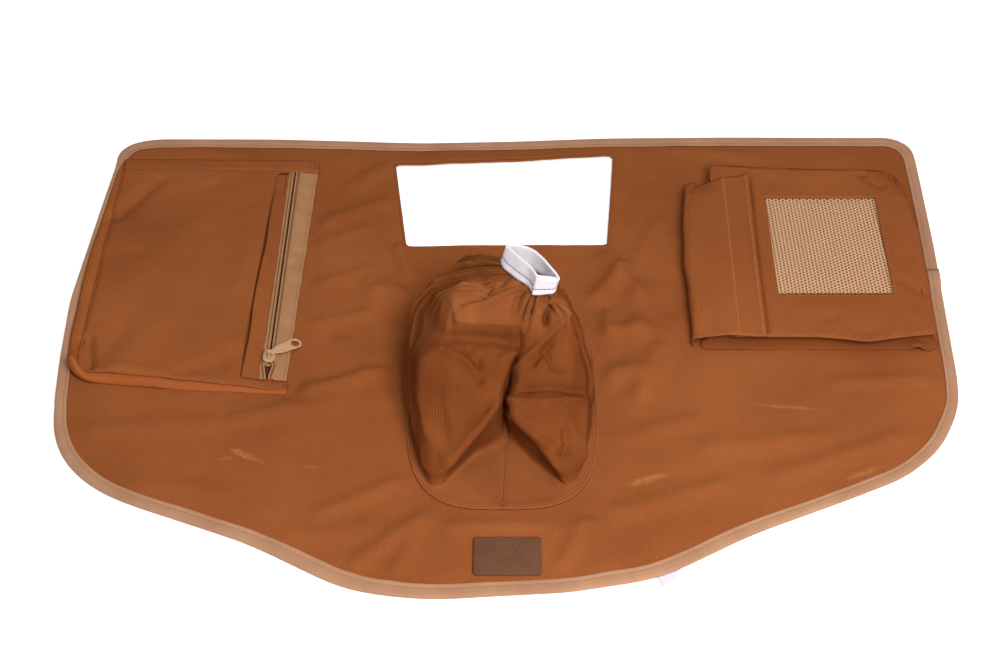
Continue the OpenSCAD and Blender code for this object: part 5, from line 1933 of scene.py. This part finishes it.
net = net_made()
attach(net, "mesh_pocket")
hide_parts("mesh_insert")
backing_plan = np.array([[(x, y) for x in np.linspace(*NET_SPAN, 40)] for y in np.linspace(36, 174.5, 50)])
backing_spots = backing_plan.reshape(-1, 2)
backing_height = net_height(backing_spots) - 1.3
backing = cloth("net_backing_cloth", np.column_stack([backing_spots, backing_height]), grid_faces(50, 40),
                0.3, backing_finish)
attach(backing, "mesh_pocket")
print("Net faces:", len(net.data.polygons), "area in square metres:", round(measured(net), 4))

# %% Hook and loop tape
TOUCH_WIDTH = 18.0
TOUCH_ENDS = (-7.0, 190.0)


def touch_tape(name, node, low, high, body):
    """A tape between two heights, along the flap's free edge."""
    y = np.linspace(*TOUCH_ENDS, 110)[:, None]
    x = flap_free(y) - 4.0 - TOUCH_WIDTH + np.linspace(0, TOUCH_WIDTH, 15)[None, :]
    y = np.broadcast_to(y, x.shape)
    edge = np.minimum(np.linspace(0, TOUCH_WIDTH, 15)[None, :], np.linspace(TOUCH_WIDTH, 0, 15)[None, :])
    height = np.broadcast_to(high - 0.2 * bell(edge, 0, 1.2), x.shape)
    grid = np.stack([x, y, height], axis=2)
    made = sheet_of(name, grid, high - low, touch_finish, mapped=False)
    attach(made, body)
    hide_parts(node)
    return made


loop_tape = touch_tape("loop_tape_cloth", "loop_tape", 14.05, 14.65, "mesh_pocket")
hook_tape = touch_tape("hook_tape_cloth", "hook_tape", 14.75, 15.35, "flap")
print("Hook and loop tapes in square metres:", round(measured(loop_tape), 4), round(measured(hook_tape), 4))

# %% [markdown]
# ## Riser and flap
# The riser stands between the panel and the flap and bulges to the left, because the pocket is pressed flat.
# The flap goes on from it over the top fold, across the pocket's open side. They are cut apart here at the
# fold, where the flap turns.

# %% Riser
RISER_LOW, RISER_HIGH = -8.2, 196.0
RISER_SECTION = [
    (26.0, 1.35), (16.0, 1.5), (8.0, 1.9), (3.0, 2.8), (0.6, 5.2), (0.0, 8.5), (0.1, 12.0), (0.7, 14.2),
    (2.2, 15.3), (5.0, 15.7), (8.0, 15.9),
]


def riser_left(y):
    """Where the bulge reaches furthest left."""
    return np.interp(y, [-12, 80, 156, 188, 200], [144.0, 144.0, 148.0, 152.0, 154.0])


def flap_droop(x, y):
    """How much of its height the flap keeps towards its two left corners."""
    top = 0.5 * smooth_step(168, 200, y) * (1 - smooth_step(158, 186, x))
    low = 0.34 * (1 - smooth_step(-14, 26, y)) * (1 - smooth_step(148, 174, x))
    return 1 - top - low


def riser_grid():
    y = np.linspace(RISER_LOW, RISER_HIGH, 90)
    soft = 0.5 * np.sin(y / 21) + 0.35 * np.sin(y / 8.3 + 1)
    rows = []
    for across, z in RISER_SECTION:
        x = riser_left(y) + across + soft * smooth_step(14, 2, across)
        rows.append(np.column_stack([x, y, np.maximum(z * flap_droop(x, y), 1.3)]))
    return np.array(rows)


riser_points = riser_grid()
riser = sheet_of("flap_riser_cloth", riser_points, GUSSET_CLOTH, folded_finish)
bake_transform(riser)
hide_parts("flap_riser")
print("Riser in square metres:", round(measured(riser), 4))

# %% Flap
FLAP_STITCHES = [[(179.2, -10.5), (184.4, 194.0)], [(197.4, -10.5), (203.4, 197.0)]]
FLAP_CREASES = [
    ((152, 60), (176, 66), 9, -0.5), ((160, 150), (176, 170), 9, 0.6), ((156, 20), (170, -4), 9, -0.5),
    ((164, 100), (174, 130), 12, 0.5), ((186, 186), (196, 196), 6, -0.5),
]


def flap_grid():
    across = np.concatenate([np.linspace(0, 0.2, 14), np.linspace(0.23, 0.94, 22),
                             np.linspace(0.955, 1, 6)])[:, None]
    along = np.linspace(0, 1, 86)[None, :]
    start = riser_left(along * 200) + 1.6
    free = flap_free(along * 212.6 - 12.6)
    x = mix(start, free, across)
    top = np.interp(x, [150, 158, 176, 206], [186.5, 189.5, 193.0, 200.0])
    low = np.interp(x, [144, 170, 200], [-6.5, -9.8, -12.6])
    y = mix(low, top, along)
    plan_here = np.stack([x, y], axis=2).reshape(-1, 2)
    from_fold = (x - start).ravel()
    height = mix(15.6, 16.9, smooth_step(-1, 4, from_fold)) - 0.5 * smooth_step(20, 50, from_fold)
    height += creased(plan_here, FLAP_CREASES)
    height += 0.25 * ripple(plan_here, 22, 4.4) * smooth_step(0, 10, from_fold)
    edge = np.minimum((y - low).ravel(), np.minimum((top - y).ravel(), (free - x).ravel()))
    height += 1.6 * bell((free - x).ravel(), 0, 4) - 0.35 * bell(edge, 0, 1.4)
    for row in FLAP_STITCHES:
        height -= 0.22 * bell(distance_to(plan_here, np.array(row), closed=False), 0, 0.9)
    height = height * flap_droop(*plan_here.T)
    return np.column_stack([plan_here, height]).reshape(*x.shape, 3)


def flap_piece(made):
    """Bakes a piece of the flap into place."""
    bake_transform(made)


flap_points = flap_grid()
flap_turned = flap_points[:, ::-1]
flap = sheet_of("flap_cloth", flap_turned, POCKET_CLOTH, pocket_finish, mapped=False)
flap_piece(flap)
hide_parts("pocket_flap")
print("Flap in square metres:", round(measured(flap), 4))


# %% Stitching on the net pocket
def on_flap(plan_here):
    """Places on the flap's upper side."""
    spots = flap_points.reshape(-1, 3)
    near = [np.argmin(np.linalg.norm(spots[:, :2] - p, axis=1)) for p in plan_here]
    return np.column_stack([plan_here, spots[near, 2] + 0.12])


net_row = net_opening - inward(net_opening) * NET_STITCH
right_row = eased_path([(327, -3), (331.5, 60), (334.8, 121), (333.6, 160), (329.5, 196)], 3.0)
top_row = resampled([(208, 207.6), (304, 203.4)], 3.0)
low_row = eased_path([(205, -5.2), (240, -5.4), (262, -7.8), (279, -10.8), (294, -7.6), (327, -3)], 3.0)
net_rows = [(np.column_stack([p, net_front_height(p) + 0.12]), UP, closed)
            for p, closed in ((net_row, True), (right_row, False), (top_row, False), (low_row, False))]
net_seam = sew("net_pocket_stitches", net_rows, rust_thread)
net_pocket_piece(net_seam)
flap_rows = [(on_flap(resampled(row, 3.0)), UP, False) for row in FLAP_STITCHES]
flap_seam = sew("flap_stitches", flap_rows, light_thread, 2.8, (1.0, 2.2, 0.6))
flap_piece(flap_seam)
print("Stitched the net pocket and its flap")

# %% Sizes
bpy.context.view_layer.update()
